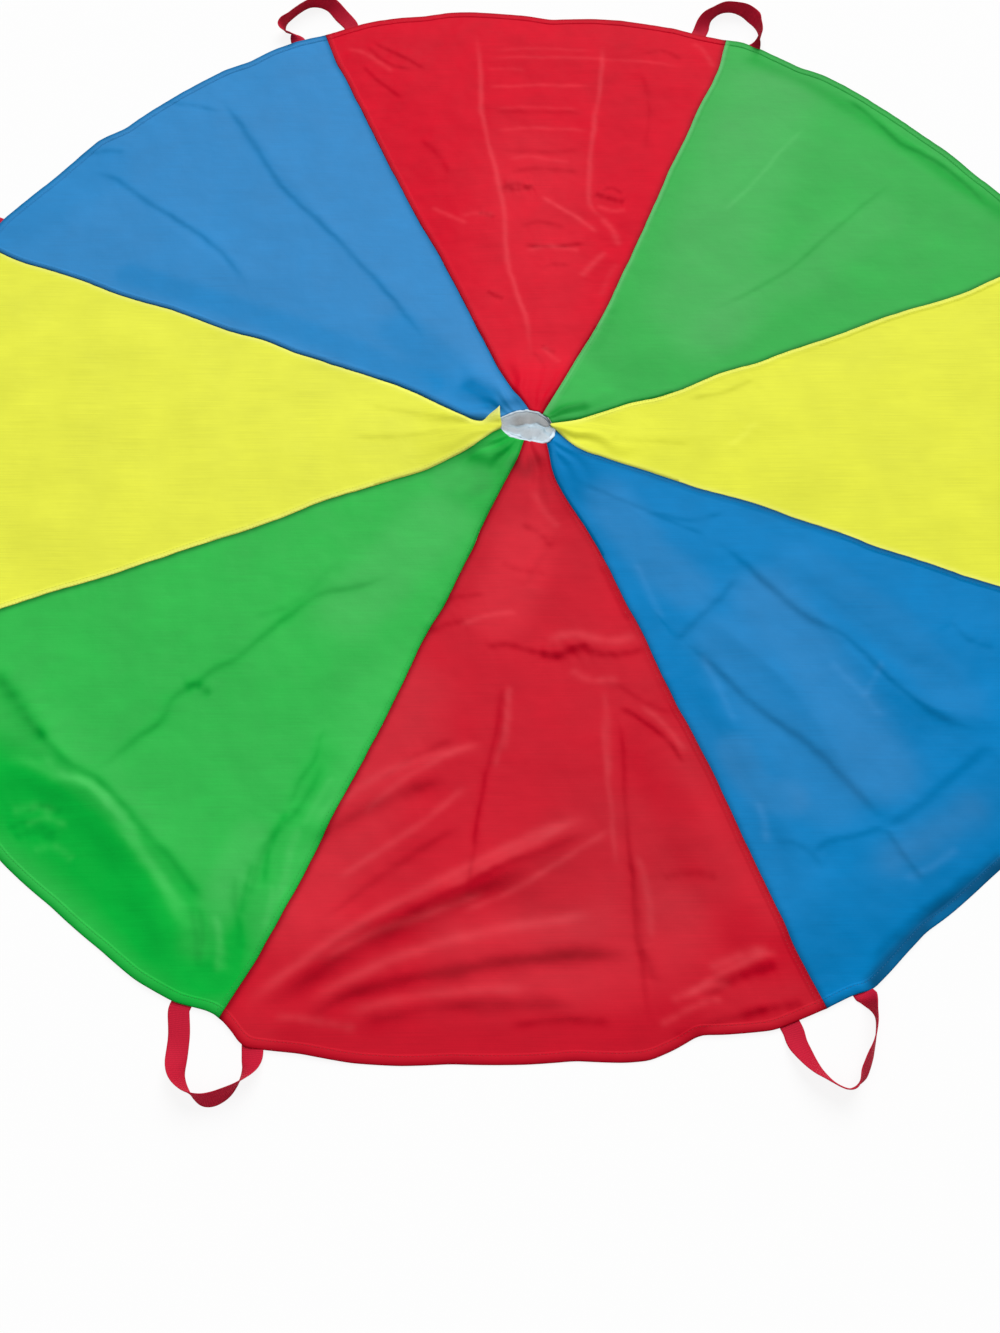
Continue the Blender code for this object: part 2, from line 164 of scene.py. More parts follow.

# The finer creases, each as its slope, its half width and its route, in millimetres. One with a slope above 0
# steps down away from the main light and looks dark, and one below 0 steps down towards it and looks pale.
# Along a dark crease the colour takes painted shade, and along a pale one a painted highlight and sheen.
CREASES = (
    (-0.26, 4.5, -66, 852, -59, 777, -57, 718, -55, 647, -41, 566, -25, 481, -19, 420, -14, 323, -1, 266, 17, 192,
        19, 117),
    (-0.26, 4.5, 150, 822, 142, 718, 130, 630, 122, 554, 114, 461, 124, 426, 150, 411),
    (-0.16, 4.5, -47, 713, 42, 716, 130, 713),
    (-0.12, 4.5, -52, 782, 76, 784, 211, 772, 294, 757),
    (0.10, 6, -41, 651, 41, 651, 123, 647),
    (0.10, 6, -30, 563, 40, 559, 112, 563),
    (0.20, 5, -244, 822, -194, 787, -147, 752),
    (0.20, 5, -257, 764, -222, 718, -184, 684),
    (0.24, 8.5, -25, 483, 0, 476, 32, 481),
    (0.26, 8.5, 122, 467, 146, 457, 174, 450),
    (0.24, 8, -60, 426, -47, 422, -34, 411),
    (-0.22, 5, 38, 461, 77, 431, 130, 382),
    (-0.22, 6, 132, 418, 151, 388, 160, 354),
    (0.26, 5, 6, 356, 52, 354, 111, 361),
    (-0.24, 5.5, 139, 346, 119, 321, 97, 291),
    (0.24, 7, -46, 264, -33, 256, -19, 247),
    (0.24, 6, 36, 157, 46, 149, 58, 145),
    (-0.16, 5, -135, 441, -100, 418, -72, 401),
    (0.14, 7, 210, 752, 222, 656, 207, 563),
    (0.18, 6, -492, 692, -459, 637, -419, 568, -382, 498, -347, 450, -294, 388, -243, 323, -202, 269, -161, 207,
        -126, 151),
    (0.18, 6, -681, 518, -633, 496, -580, 448, -527, 407, -465, 354, -435, 313, -405, 273),
    (0.10, 6, -603, 680, -536, 670, -482, 651),
    (0.12, 6, -722, 541, -671, 563, -625, 559),
    (-0.16, 4.5, 473, 616, 427, 559, 382, 494, 354, 461, 323, 422),
    (0.12, 5, 600, 494, 537, 431, 468, 359, 419, 307, 363, 266, 286, 219),
    (0.26, 5.5, 536, 699, 571, 661, 601, 614, 626, 577, 649, 559, 672, 541, 697, 514, 723, 474, 744, 426),
    (-0.16, 5, 598, 642, 634, 591, 683, 545, 726, 492),
    (0.10, 7, 156, 245, 133, 186, 117, 144),
    (0.14, 6, 246, 58, 282, 63, 315, 76, 350, 97),
    (0.08, 6, 126, -16, 188, -18, 249, -23),
    (-0.10, 6, 298, -28, 324, -7, 344, 18),
    (0.08, 6, -213, 45, -155, 34, -94, 16),
    (0.08, 6, -236, -14, -167, -10, -102, 0),
    (0.26, 11, -683, -385, -650, -429, -622, -464, -594, -495),
    (0.24, 5.5, -622, -464, -573, -517, -542, -535, -518, -552, -497, -571, -469, -598),
    (-0.20, 7.5, -655, -506, -615, -521, -580, -539, -536, -551, -505, -579, -476, -613, -447, -655, -421, -688,
        -394, -720, -375, -745),
    (0.11, 24, -664, -530, -610, -552, -567, -579, -522, -619, -487, -660, -461, -700, -439, -737, -404, -783),
    (0.20, 6.2, -542, -533, -522, -524, -502, -504, -483, -483, -456, -459, -445, -432, -418, -409, -397, -388,
        -368, -371, -326, -327, -284, -287, -258, -270, -216, -261, -161, -239),
    (0.20, 8, -436, -415, -415, -412, -396, -426),
    (0.20, 6, -250, -500, -255, -544, -268, -571, -286, -598, -304, -621, -318, -652, -323, -688, -323, -715),
    (-0.20, 6, -271, -600, -281, -637, -285, -675, -297, -707),
    (0.16, 6, -344, -665, -343, -700, -333, -737, -336, -762),
    (-0.14, 6, -366, -715, -353, -755, -349, -791),
    (0.16, 5.5, -395, -707, -384, -745, -377, -786),
    (-0.14, 7, -632, -587, -604, -579, -572, -590),
    (0.16, 6, -634, -608, -603, -600, -566, -619),
    (-0.12, 6, -597, -637, -569, -632, -541, -652),
    (0.08, 6, -356, -313, -292, -283, -242, -219),
    (0.20, 5.5, -45, -356, -17, -350, 9, -359, 34, -365),
    (0.40, 7.5, 22, -362, 48, -368, 72, -359, 96, -351),
    (0.20, 5.5, 80, -359, 114, -365, 148, -360, 167, -351),
    (-0.20, 8, 34, -347, 70, -335, 120, -344, 159, -335),
    (-0.14, 7, 63, -385, 92, -403, 133, -400),
    (0.22, 4.2, -21, -403, -29, -468, -41, -530, -53, -600, -58, -650, -66, -700),
    (-0.14, 4.2, -12, -409, -19, -472, -33, -533),
    (0.22, 4.2, 124, -441, 130, -503, 130, -587, 135, -677, 136, -745, 142, -794, 147, -856),
    (-0.14, 4.2, 106, -449, 108, -517, 113, -587, 115, -663),
    (0.26, 4.5, 126, -438, 161, -464, 190, -493, 208, -524),
    (-0.16, 5, 155, -438, 184, -466, 212, -506),
    (-0.26, 8, -322, -833, -291, -802, -222, -753, -142, -703, -60, -659, 24, -616, 93, -590),
    (0.34, 15, -299, -835, -257, -804, -213, -771, -162, -742, -108, -715, -47, -688, 19, -660),
    (0.14, 6, -259, -783, -191, -737, -121, -700),
    (-0.20, 8, -256, -830, -197, -795, -131, -764, -60, -745, 22, -728, 94, -718),
    (0.37, 11, -254, -849, -194, -813, -139, -799, -75, -786, -3, -774, 69, -767, 139, -768),
    (-0.14, 7, -209, -837, -141, -819, -60, -809, 21, -807),
    (0.22, 10, -197, -856, -117, -833, -25, -826, 67, -828),
    (-0.16, 8, -263, -606, -217, -566, -165, -532, -113, -513, -43, -493),
    (0.26, 11, -268, -637, -216, -600, -159, -566, -87, -541),
    (0.20, 7.5, 140, -759, 148, -776, 154, -802),
    (-0.18, 7, 216, -786, 257, -768, 295, -759),
    (0.16, 7, 222, -802, 262, -786, 301, -776),
    (-0.14, 7, 169, -823, 207, -809, 247, -802),
    (0.28, 7, 247, -840, 284, -833, 331, -826),
    (0.12, 7, 168, -675, 205, -665, 240, -670),
    (0.12, 7, 57, -171, 29, -219, 7, -267),
    (0.10, 6, -25, -219, 2, -235, 40, -239),
    (0.12, 5, 74, -89, 139, -116, 201, -151, 264, -181),
    (0.25, 7.2, 264, -181, 309, -226, 341, -267, 386, -312, 430, -339, 471, -393, 506, -431, 548, -465, 598, -479),
    (0.25, 7.5, 212, -339, 256, -385, 293, -431, 331, -465, 367, -497, 396, -533, 424, -568, 450, -606),
    (0.22, 6.5, 201, -345, 212, -339, 242, -307, 272, -276, 294, -243),
    (0.20, 9, 446, -608, 485, -584, 521, -555, 565, -519, 602, -495),
    (0.18, 5.6, 450, -606, 418, -616, 378, -627, 352, -643),
    (0.20, 5.6, 450, -606, 465, -643, 486, -677),
    (0.09, 24, 222, -391, 246, -455, 279, -519, 304, -579, 322, -645, 333, -713),
    (0.08, 24, 355, -219, 416, -276, 473, -335, 534, -385, 606, -426),
    (-0.16, 6, 295, -571, 300, -598, 302, -627),
    (-0.12, 6, 237, -359, 259, -418, 276, -466),
    (-0.10, 7, 403, -374, 439, -418, 465, -461),
    (0.12, 6, 308, -621, 341, -632, 369, -660),
    (-0.12, 6, 457, -675, 495, -660, 536, -632),
    (0.22, 8, 405, -783, 443, -745, 478, -715, 518, -688, 562, -652),
    (-0.10, 5, 438, -432, 463, -397, 476, -374),
    (0.14, 6, 111, -219, 133, -276, 147, -319),
    (-0.12, 6, 157, -219, 176, -270, 192, -313),
    (0.12, 6, 177, -138, 237, -154, 293, -138),
    (0.12, 7, 571, -313, 593, -344, 625, -356),
    (-0.09, 4.2, -37, 801, 42, 806, 136, 799),
    (-0.08, 4.2, -49, 755, -14, 757, 21, 752),
    (-0.09, 4.2, -37, 658, 32, 662, 109, 656),
    (-0.12, 4.5, -33, 608, 39, 614, 123, 606),
    (-0.10, 5, -14, 541, 23, 548, 91, 535),
    (0.16, 7, -14, 512, 38, 523, 105, 512),
    (0.20, 8, -18, 483, 4, 486, 26, 475),
    (-0.16, 5.5, 125, 443, 151, 431, 175, 435),
    (0.18, 6, 134, 471, 152, 479, 170, 467),
    (-0.12, 5.5, -88, 418, -62, 425, -35, 417),
    (0.14, 6, 7, 395, 36, 405, 80, 393),
    (-0.14, 5.5, 14, 344, 50, 354, 101, 346),
    (0.12, 6, 35, 305, 57, 317, 85, 313),
    (-0.14, 6, 39, 156, 49, 139, 62, 123),
    (0.14, 6, 21, 146, 33, 128, 42, 105),
    (-0.16, 6, -287, 803, -250, 792, -201, 743),
    (0.16, 6, -251, 813, -210, 766, -167, 752),
    (-0.14, 6, 300, 822, 320, 799, 336, 755),
    (0.12, 7, 215, 789, 247, 799, 285, 778),
    (0.12, 8, -158, 588, -127, 556, -104, 504),
    (-0.10, 6, 157, 325, 138, 287, 126, 249),
    (-0.18, 5.5, -244, -782, -181, -746, -109, -719, -35, -689),
    (-0.16, 5, -76, -719, -2, -684, 66, -640, 117, -606),
    (0.20, 6, -149, -727, -76, -689, -2, -651, 83, -615),
    (-0.16, 5.5, -101, -693, -18, -649, 67, -601),
    (-0.18, 6, -226, -676, -161, -632, -103, -586, -61, -549),
    (0.18, 6.5, -240, -727, -184, -684, -127, -640, -69, -604),
    (-0.14, 5.5, -197, -591, -147, -545, -79, -504, -44, -492),
    (0.14, 5.5, -181, -549, -131, -511, -79, -485),
    (0.16, 5, -109, -295, -82, -277, -43, -270),
    (0.18, 5.5, -122, -334, -100, -319, -68, -313),
    (-0.14, 5, -81, -321, -45, -307, 1, -300),
    (0.14, 4.5, -20, -406, -21, -453, -28, -511),
    (-0.12, 4.5, -11, -406, -13, -453, -20, -508),
    (0.14, 4.5, -42, -521, -51, -577, -58, -640),
    (-0.14, 5, 111, -414, 112, -483, 111, -549),
    (0.12, 5, 123, -406, 159, -434, 202, -453),
    (0.16, 5, 129, -640, 139, -693, 141, -744, 144, -794),
    (-0.14, 5, 141, -640, 152, -693, 154, -753),
    (-0.20, 5.5, 185, -822, 222, -798, 273, -771, 306, -763),
    (0.20, 6, 213, -820, 255, -794, 304, -779),
    (-0.16, 5, 155, -852, 204, -828, 237, -820),
    (0.20, 5.5, -19, -852, 45, -844, 108, -847),
    (0.18, 5, 170, -864, 219, -849, 292, -831),
    (-0.14, 5.5, -288, -841, -240, -844, -185, -855),
    (0.14, 7, 2, -158, 30, -174, 48, -202),
    (-0.12, 6, 21, -107, 35, -137, 58, -169),
    (0.20, 4.5, -251, -470, -258, -511, -274, -543, -286, -582),
    (0.20, 5, -286, -582, -300, -612, -308, -650, -310, -686),
    (-0.16, 4.5, -235, -535, -252, -574, -270, -608),
    (0.18, 5, -324, -650, -331, -686, -331, -722),
    (-0.14, 4.5, -300, -679, -299, -708, -304, -737),
    (0.16, 4.5, -384, -708, -376, -744, -375, -779),
    (-0.16, 4.5, -362, -722, -356, -751, -355, -792),
    (0.14, 5.5, -614, -589, -594, -578, -564, -589),
    (0.14, 5.5, -623, -620, -596, -612, -566, -626),
    (-0.14, 5, -611, -604, -584, -595, -554, -606),
    (-0.16, 6, -604, -511, -572, -535, -533, -554, -497, -582),
    (0.20, 6, -490, -581, -454, -619, -420, -652, -378, -706),
    (-0.18, 8, -508, -592, -468, -636, -430, -684, -391, -745),
)

# Wider patches of painted shade, painted light and painted sheen, each as its change of brightness, how much of the
# painted sheen it takes away, how much it adds, its half width and its route, in millimetres
PAINTED_SHADE_AND_SHEEN = (
    (-0.05, 1, 0, 52.8, -676, -536, -593, -590, -510, -655, -442, -718, -376, -779),
    (-0.02, 0.45, 0, 19, -246, -509, -277, -610, -315, -700, -350, -791),
    (-0.02, 0.2, 0, 47.3, -818, 379, -734, 443, -659, 532),
    (0.00, 0.4, 0, 21, -590, 297, -323, 187, -127, 83),
    (0.00, 0.45, 0, 32.5, -174, 187, -113, 121, -61, 49),
    (-0.10, 0.9, 0, 14.6, 405, 774, 522, 692, 624, 584, 700, 494, 760, 424),
    (0.00, 0, 0.021, 44.2, 329, -281, 396, -402, 452, -530),
    (0.00, 0, 0.014, 38.2, 265, -343, 320, -460, 384, -570),
    (-0.09, 0.5, 0, 40, 340, -760, 420, -700, 530, -620, 620, -560),
    (-0.04, 0.4, 0, 30, 216, -431, 262, -557, 310, -675, 352, -773),
    (0.00, 0, 0.018, 32.4, 128, -120, 179, -210, 230, -266),
    (0.00, 0, 0.016, 22.5, 272, -502, 299, -557, 335, -570),
    (0.00, 0, 0.016, 19.6, 449, -649, 502, -617, 556, -584),
    (0.00, 0, 0.006, 31.8, 382, -218, 479, -312, 567, -431),
    (-0.55, 0, 0, 7, 409, -798, 450, -755, 493, -716, 538, -685, 582, -649),
    (-0.05, 0.5, 0, 28.8, 153, -488, 218, -649, 280, -773),
    (0.05, 0, 0.008, 93, 23, 520, 21, 327, 20, 187),
    (0.06, 0, 0.01, 62.5, -154, -431, -211, -570, -265, -700),
    (-0.04, 0, 0.006, 61.2, 47, -700, 122, -610, 192, -675),
    (-0.05, 0.4, 0, 25.3, -254, -861, -82, -872, 89, -867, 182, -844),
    (0.15, 0, 0.01, 40.5, 10, -124, 2, -218, -25, -297),
    (-0.26, 0.8, 0, 9, -62, -54, -39, -64, -18, -45),
    (-0.28, 0, 0, 10, -4, -68, 11, -82, 22, -66),
    (-0.20, 0.8, 0, 11, -69, 77, -46, 56, -36, 36),
    (-0.25, 0.6, 0, 8, -30, 30, -16, 36, -4, 40),
    (-0.26, 0.8, 0, 8, 50, 18, 72, 28, 95, 34),
    (-0.12, 0.8, 0, 12.8, -25, -26, -17, -19, -8, -30),
    (0.00, 0, 0.022, 75, 414, 682, 337, 433, 276, 227),
    (0.00, 0, 0.012, 38, 571, 422, 417, 287, 271, 159),
    (0.03, 0, 0, 50, 541, 433, 611, 369, 666, 323),
    (-0.03, 0.3, 0, 50, 47, -675, 149, -570, 167, -700),
    (0.03, 0, 0.008, 55, -60, -761, 47, -775, 165, -737),
    (0.00, 0, 0.014, 24, -331, -623, -356, -687, -379, -749),
    (0.00, 0, 0.018, 45, -108, -153, -161, -218, -225, -297),
    (0.02, 0, 0.022, 22, -60, -90, -80, -85, -100, -80),
    (0.02, 0, 0.005, 60, 227, -516, 271, -597, 313, -675),
)

# Where each seam meets the vent, as a bearing from the crown, and how far it bows off a straight line on its
# way to the rim, in millimetres at each share of the way
VENT_BEARINGS = (14.0, 55.0, 86.0, 158.0, 186.0, 258.0, 305.0, 356.0)
SEAM_BOW_SHARES = (
    0.0, 0.03, 0.06, 0.10, 0.15, 0.20, 0.26, 0.32, 0.38, 0.44, 0.50, 0.56, 0.62, 0.68, 0.74, 0.80, 0.86, 0.92, 1.0,
)
SEAM_BOWS = (
    (0, -8, -9, -4, -1, -9.5, -8, -4, -10, -8, -9.5, -10.5, -8.5, -10, -14, -16, -12, -6, 0),
    (0, -2.5, -5, -5, -5.5, -10.5, -14, -13, -13, -12.5, -11.5, -10.5, -8.5, -9.8, -9, -7.5, -11, -10, 0),
    (0, 5, 8.5, 8.7, 6.2, 7, 5.2, 5.2, 5.2, 7.3, 9, 7.8, 8.7, 7.6, 6, 6, 5.2, 6.6, 0),
    (0, 15, 11, 1, -8, -9, -7.6, -6, -3.3, -6.8, -1, -2, -3, 2.3, 3.6, 0.6, 5, 8, 0),
    (0, 5.6, 12.3, 12.3, 13, 9.7, 6.4, 4.7, 8, 8.8, 5.4, 3.8, 3, 2.9, -2.7, -4.3, -3, -1, 0),
    (0, 5.2, 4.4, 1.6, -0.2, 3.7, 4.7, 7, 2.2, 4.9, 6.8, 7.4, 8, 6.6, 8.5, 9, 9.5, 6.4, 0),
    (0, -7.2, -12.9, -8.6, -1.8, 2.5, 3.5, 2.4, 5.1, 2.3, 2.6, 4.6, 5.8, 4.1, 2.2, 1.2, 0.2, -2.8, 0),
    (0, -15, -21.6, -13.9, -8.3, -9.1, -9.5, -5.2, -4, -6.5, -5.6, -9.8, -8.1, -8.9, -9, -6, -3, 0, 0),
)

# The vent's uneven outline, as bearing in degrees and share of its even oval
VENT_OUTLINE = (
    (-11.0, 0.92), (16.0, 0.80), (65.0, 0.86), (90.0, 0.92), (132.0, 0.96), (154.0, 1.10), (168.0, 1.08),
    (187.0, 0.93), (217.0, 0.83), (258.0, 0.76), (287.0, 0.88), (301.0, 1.14), (321.0, 1.06), (349.0, 0.92),
    (376.0, 0.80),
)

# Mesh counts: the columns outside the core, the radii where they halve, and the spacing of the rows
OUTER_COLUMNS = 288
CORE_RADIUS_SHARES = (0.22, 0.50)
ROW_STEP = 0.0028

# The gores whose tips lie over the vent's tape, and the flap on one of them with its painted highlight
TIPS_OVER_VENT = (0, 4)
TIP_OVERLAP = 0.12
FLAP_GORE = 4
FLAP_RISE = 0.008
FLAP_PAINTED_HIGHLIGHT = 0.16
FLAP_LEAN = (0.003, 0.021)

# Each gore's name, its node, its cloth, how crumpled it is, the brightness of its edge at its first seam and at
# its second one, as painted shade or highlight, and its own brightness and sheen, painted for how the light falls on
# it
GORES = (
    ("right_yellow_gore", "gore_right_yellow", "yellow_cloth", 0.45, (1.06, 1.08), (0.98, 0.0)),
    ("back_right_green_gore", "gore_back_right_green", "green_cloth", 0.8, (0.48, 1.10), (0.90, 0.032)),
    ("back_red_gore", "gore_back_red", "red_cloth", 1.3, (0.58, 0.62), (1.09, 0.0)),
    ("back_left_blue_gore", "gore_back_left_blue", "blue_cloth", 0.8, (0.72, 0.34), (1.04, 0.036)),
    ("left_yellow_gore", "gore_left_yellow", "yellow_cloth", 0.45, (1.06, 1.06), (0.985, 0.014)),
    ("front_left_green_gore", "gore_front_left_green", "green_cloth", 1.0, (0.45, 0.80), (1.0, 0.031)),
    ("front_red_gore", "gore_front_red", "red_cloth", 1.0, (0.52, 0.72), (0.95, 0.010)),
    ("front_right_blue_gore", "gore_front_right_blue", "blue_cloth", 1.0, (0.66, 0.34), (0.98, 0.0)),
)

COLOURS = {
    "red_cloth": (0.600, 0.003, 0.019),
    "green_cloth": (0.001, 0.440, 0.042),
    "yellow_cloth": (0.775, 0.805, 0.050),
    "blue_cloth": (0.0005, 0.205, 0.515),
    "red_webbing": (0.58, 0.010, 0.038),
    "white_binding": (0.66, 0.78, 0.88),
    "white_net": (0.60, 0.74, 0.83),
}
GLOSS = {"red_cloth": 0.02, "green_cloth": 0.05, "yellow_cloth": 0.05, "blue_cloth": 0.03}
WHITE = (1.0, 1.0, 1.0, 1.0)
WORLD_STRENGTH = 0.22
FLOOR_GLOW = 0.88

# The vent's net and its tape. A fold is its route from the crown in millimetres, its depth and its half width, and
# a shade is its change of brightness, its half width and its route in millimetres.
NET_CELL = 0.0019
NET_STRAND = 0.0010
NET_STRETCH = 1.15
NET_INSET = 0.003
NET_LIFT = 0.0004
BINDING_INSET = 0.0018
BINDING_LIFT = 0.0006
BINDING_HALF_WIDTH = 0.0022
BINDING_HALF_THICKNESS = 0.0008
BINDING_SEGMENTS = 144
BINDING_RING = 10
NET_FOLDS = (
    ((-20, 6, -4, 12, 12, 14, 26, 6), 0.0075, 0.0040),
    ((-34, -4, -16, -10, 2, -18), 0.0045, 0.0030),
    ((6, -6, 20, -12, 30, -22), -0.0030, 0.0050),
)
NET_SHADES = (
    (-0.70, 0.0095, (4, 8, 21, 12, 50, 2)),
    (-0.42, 0.0120, (-34, 0, -18, 4, -4, 6)),
    (0.15, 0.0065, (-8, -16, 17, -20, 44, -26)),
)

# How far each handle's webbing is turned on edge, in degrees, by share of the way along its loop
TURN_PROFILES = {
    1: ((0.0, 0), (0.08, 12), (0.20, 84), (0.30, 95), (0.44, 98), (0.52, 80), (0.60, 50), (0.66, 60),
        (0.74, 82), (0.88, 86), (0.95, 80), (1.0, 0)),
    2: ((0.0, 0), (0.05, 45), (0.16, 52), (0.22, 70), (0.28, 102), (0.40, 106), (0.54, 110), (0.62, 86),
        (0.70, 52), (0.80, 32), (0.92, 12), (1.0, 0)),
    5: ((0.0, 0), (0.12, 5), (0.20, 50), (0.27, 84), (0.34, 110), (0.42, 120), (0.48, 104), (0.52, 84),
        (0.58, 66), (0.64, 48), (0.74, 8), (0.80, 0), (1.0, 0)),
    6: ((0.0, 0), (0.04, 40), (0.12, 96), (0.28, 102), (0.36, 116), (0.46, 118), (0.50, 90), (0.56, 76),
        (0.66, 70), (0.74, 50), (0.82, 30), (0.92, 3), (1.0, 0)),
}
PLAIN_TURN = ((0.0, 0), (0.10, 0), (0.38, 86), (0.62, 86), (0.90, 0), (1.0, 0))
WEBBING_STEP = 0.0018
WEBBING_COLUMNS = 14

GORE_LENGTH = CANOPY_RADIUS - (VENT_HALF_WIDTH + VENT_HALF_DEPTH) / 2
TAB_LIFT = WEBBING_THICKNESS + CLEARANCE
HINGE_HEIGHT = TAB_LIFT + HEM_THICKNESS / 2
GORE_ANGLE = 360.0 / GORE_COUNT
LIGHT_BEARING = (0.25, 0.97)
RISE_AT_CROWN = 1.064


def seam_bearing(seam):
    turns, index = divmod(seam, GORE_COUNT)
    return 360.0 * turns + GORE_ANGLE * (index + 0.5) + SEAM_LIE_DEGREES[index]


def vent_bearing(seam):
    turns, index = divmod(seam, GORE_COUNT)
    return 360.0 * turns + VENT_BEARINGS[index]


def on_bearing(bearing, radius):
    angle = np.radians(bearing)
    return np.stack((radius * np.cos(angle), radius * np.sin(angle)), axis=-1)


def seam_end(seam):
    return on_bearing(seam_bearing(seam), CANOPY_RADIUS * SEAM_END_SHARES[seam % GORE_COUNT])


def smooth_fall(distance, flat, spread):
    """1 within flat, 0 past spread, and smooth between them."""
    share = np.clip((spread - distance) / (spread - flat), 0.0, 1.0)
    return share * share * (3 - 2 * share)


def bell(distance, width):
    return np.exp(-((distance / width) ** 2))


def end_fade(share, reach):
    """From 0 at either end of a way to 1 within it."""
    return np.clip(np.minimum(share, 1 - share) / reach, 0.0, 1.0)


def smoothed(places, xs, ys, step, around=False):
    """A table's values, each as the mean of five that lie a step apart."""
    places = [places + shift * step for shift in (-2, -1, 0, 1, 2)]
    return sum(np.interp(at % 360.0 if around else at, xs, ys) for at in places) / 5


def noise(x, y, seed):
    """Smooth noise from about -1 to 1, one lattice step to a unit."""
    angles = np.random.default_rng(seed).random((64, 64)) * math.tau
    x, y = np.broadcast_arrays(np.asarray(x, float), np.asarray(y, float))
    left, low = np.floor(x).astype(int), np.floor(y).astype(int)
    u, v = x - left, y - low

    def corner(i, j):
        angle = angles[(left + i) % 64, (low + j) % 64]
        return np.cos(angle) * (u - i) + np.sin(angle) * (v - j)

    fu = u**3 * (u * (u * 6 - 15) + 10)
    fv = v**3 * (v * (v * 6 - 15) + 10)
    near = corner(0, 0) * (1 - fu) + corner(1, 0) * fu
    far = corner(0, 1) * (1 - fu) + corner(1, 1) * fu
    return 1.5 * (near * (1 - fv) + far * fv)


def table_route(numbers):
    """A table's route, written as x, y, x, y in millimetres."""
    return np.reshape(numbers, (-1, 2)) / 1000


def curve(points, steps):
    """Points along a smooth curve from the second point to the last but one."""
    route = []
    for before, start, end, after in zip(points, points[1:], points[2:], points[3:]):
        slope, bend = end - before, before * 2 - start * 5 + end * 4 - after
        twist = start * 3 - before - end * 3 + after
        for step in range(steps):
            t = step / steps
            route.append(start + (slope * t + bend * t**2 + twist * t**3) / 2)
    return route + [points[-2]]


def smooth_points(points, steps):
    """Points along a smooth curve through all the given ones."""
    points = list(np.array(points, float))
    return curve([2 * points[0] - points[1], *points, 2 * points[-1] - points[-2]], steps)


def route_distance(x, y, points):
    """Distance to a route, the signed distance towards the main light, and the share of the way along."""
    points = np.array(points, float)
    steps = np.diff(points, axis=0)
    lengths = np.hypot(steps[:, 0], steps[:, 1])
    reached = np.concatenate(((0.0,), np.cumsum(lengths)))
    chord = points[-1] - points[0]
    across = np.array((-chord[1], chord[0])) / np.hypot(*chord)
    if across @ np.array(LIGHT_BEARING) < 0:
        across = -across
    best = np.full(np.shape(x), np.inf)
    signed, share = np.zeros(np.shape(x)), np.zeros(np.shape(x))
    for start, step, length, before in zip(points, steps, lengths, reached):
        along = np.clip(((x - start[0]) * step[0] + (y - start[1]) * step[1]) / length**2, 0.0, 1.0)
        dx, dy = x - start[0] - step[0] * along, y - start[1] - step[1] * along
        distance = np.hypot(dx, dy)
        normal = np.array((-step[1], step[0])) / length
        if normal @ across < 0:
            normal = -normal
        side = np.sign(dx * normal[0] + dy * normal[1])
        nearer = distance < best
        best = np.where(nearer, distance, best)
        signed = np.where(nearer, distance * side, signed)
        share = np.where(nearer, (before + along * length) / reached[-1], share)
    return best, signed, share


def crease_form(x, y):
    """The finer creases, with their routes a little wandering.

    They give a height, painted shade and light, the share of the painted sheen lost and the painted sheen added.
    """
    x = x + 0.0018 * noise(x / 0.05, y / 0.05, 31) + 0.0009 * noise(x / 0.014, y / 0.014, 34)
    y = y + 0.0018 * noise(x / 0.05, y / 0.05, 32) + 0.0009 * noise(x / 0.014, y / 0.014, 35)
    height, painted_shade_and_light, sheen_lost, painted_sheen = (np.zeros(np.shape(x)) for _ in range(4))
    for index, (slope, width, *numbers) in enumerate(CREASES):
        spread, strength, change = DARK_CREASE if slope > 0 else PALE_CREASE
        steep = spread * (width / 1000)
        reach = 18 * steep
        route = smooth_points(table_route(numbers), 3)
        low, high = np.min(route, axis=0) - reach, np.max(route, axis=0) + reach
        near = (x > low[0]) & (x < high[0]) & (y > low[1]) & (y < high[1])
        if not near.any():
            continue
        distance, signed, share = route_distance(x[near], y[near], route)
        ends = end_fade(share, 0.14)
        swell = ends * ends * (3 - 2 * ends) * (0.85 + 0.4 * noise(share * 7, index, 33))
        length = sum(np.hypot(*(after - before)) for before, after in zip(route, route[1:]))
        fade = min(7 * steep, length / 5)
        form = np.tanh(signed / steep) * np.exp(-distance / fade) * smooth_fall(distance, 9 * steep, reach)
        height[near] += strength * slope * steep * swell * form
        # Painted shade along a dark crease, which also loses painted sheen, and a painted highlight with painted sheen
        # along a pale one
        line = abs(slope) * swell * np.exp(-((distance / steep) ** 2) / 1.3)
        painted_shade_and_light[near] += change * line
        if slope > 0:
            sheen_lost[near] += CREASE_SHEEN_LOSS * slope * swell * bell(distance, 1.7 * steep)
        else:
            painted_sheen[near] += CREASE_PAINTED_SHEEN * line
    # Wider patches of painted shade, painted light and painted sheen
    for shade, less, more, width, *numbers in PAINTED_SHADE_AND_SHEEN:
        distance = route_distance(x, y, smooth_points(table_route(numbers), 3))[0]
        patch = np.exp(-((distance / (width / 1000)) ** (4 if width > 20 else 2)) * 0.7)
        painted_shade_and_light, sheen_lost, painted_sheen = painted_shade_and_light + shade * patch, sheen_lost + less * patch, painted_sheen + more * patch
    return height, painted_shade_and_light, np.clip(sheen_lost, 0.0, 1.0), painted_sheen


def tab_height(x, y):
    """How far the sewn ends of the handles lift the cloth."""
    height = np.zeros(np.shape(x))
    for seam in range(GORE_COUNT):
        end = seam_end(seam)
        height += TAB_LIFT * smooth_fall(np.hypot(x - end[0], y - end[1]), CORNER_FLAT_RADIUS, CORNER_SPREAD)
    return height


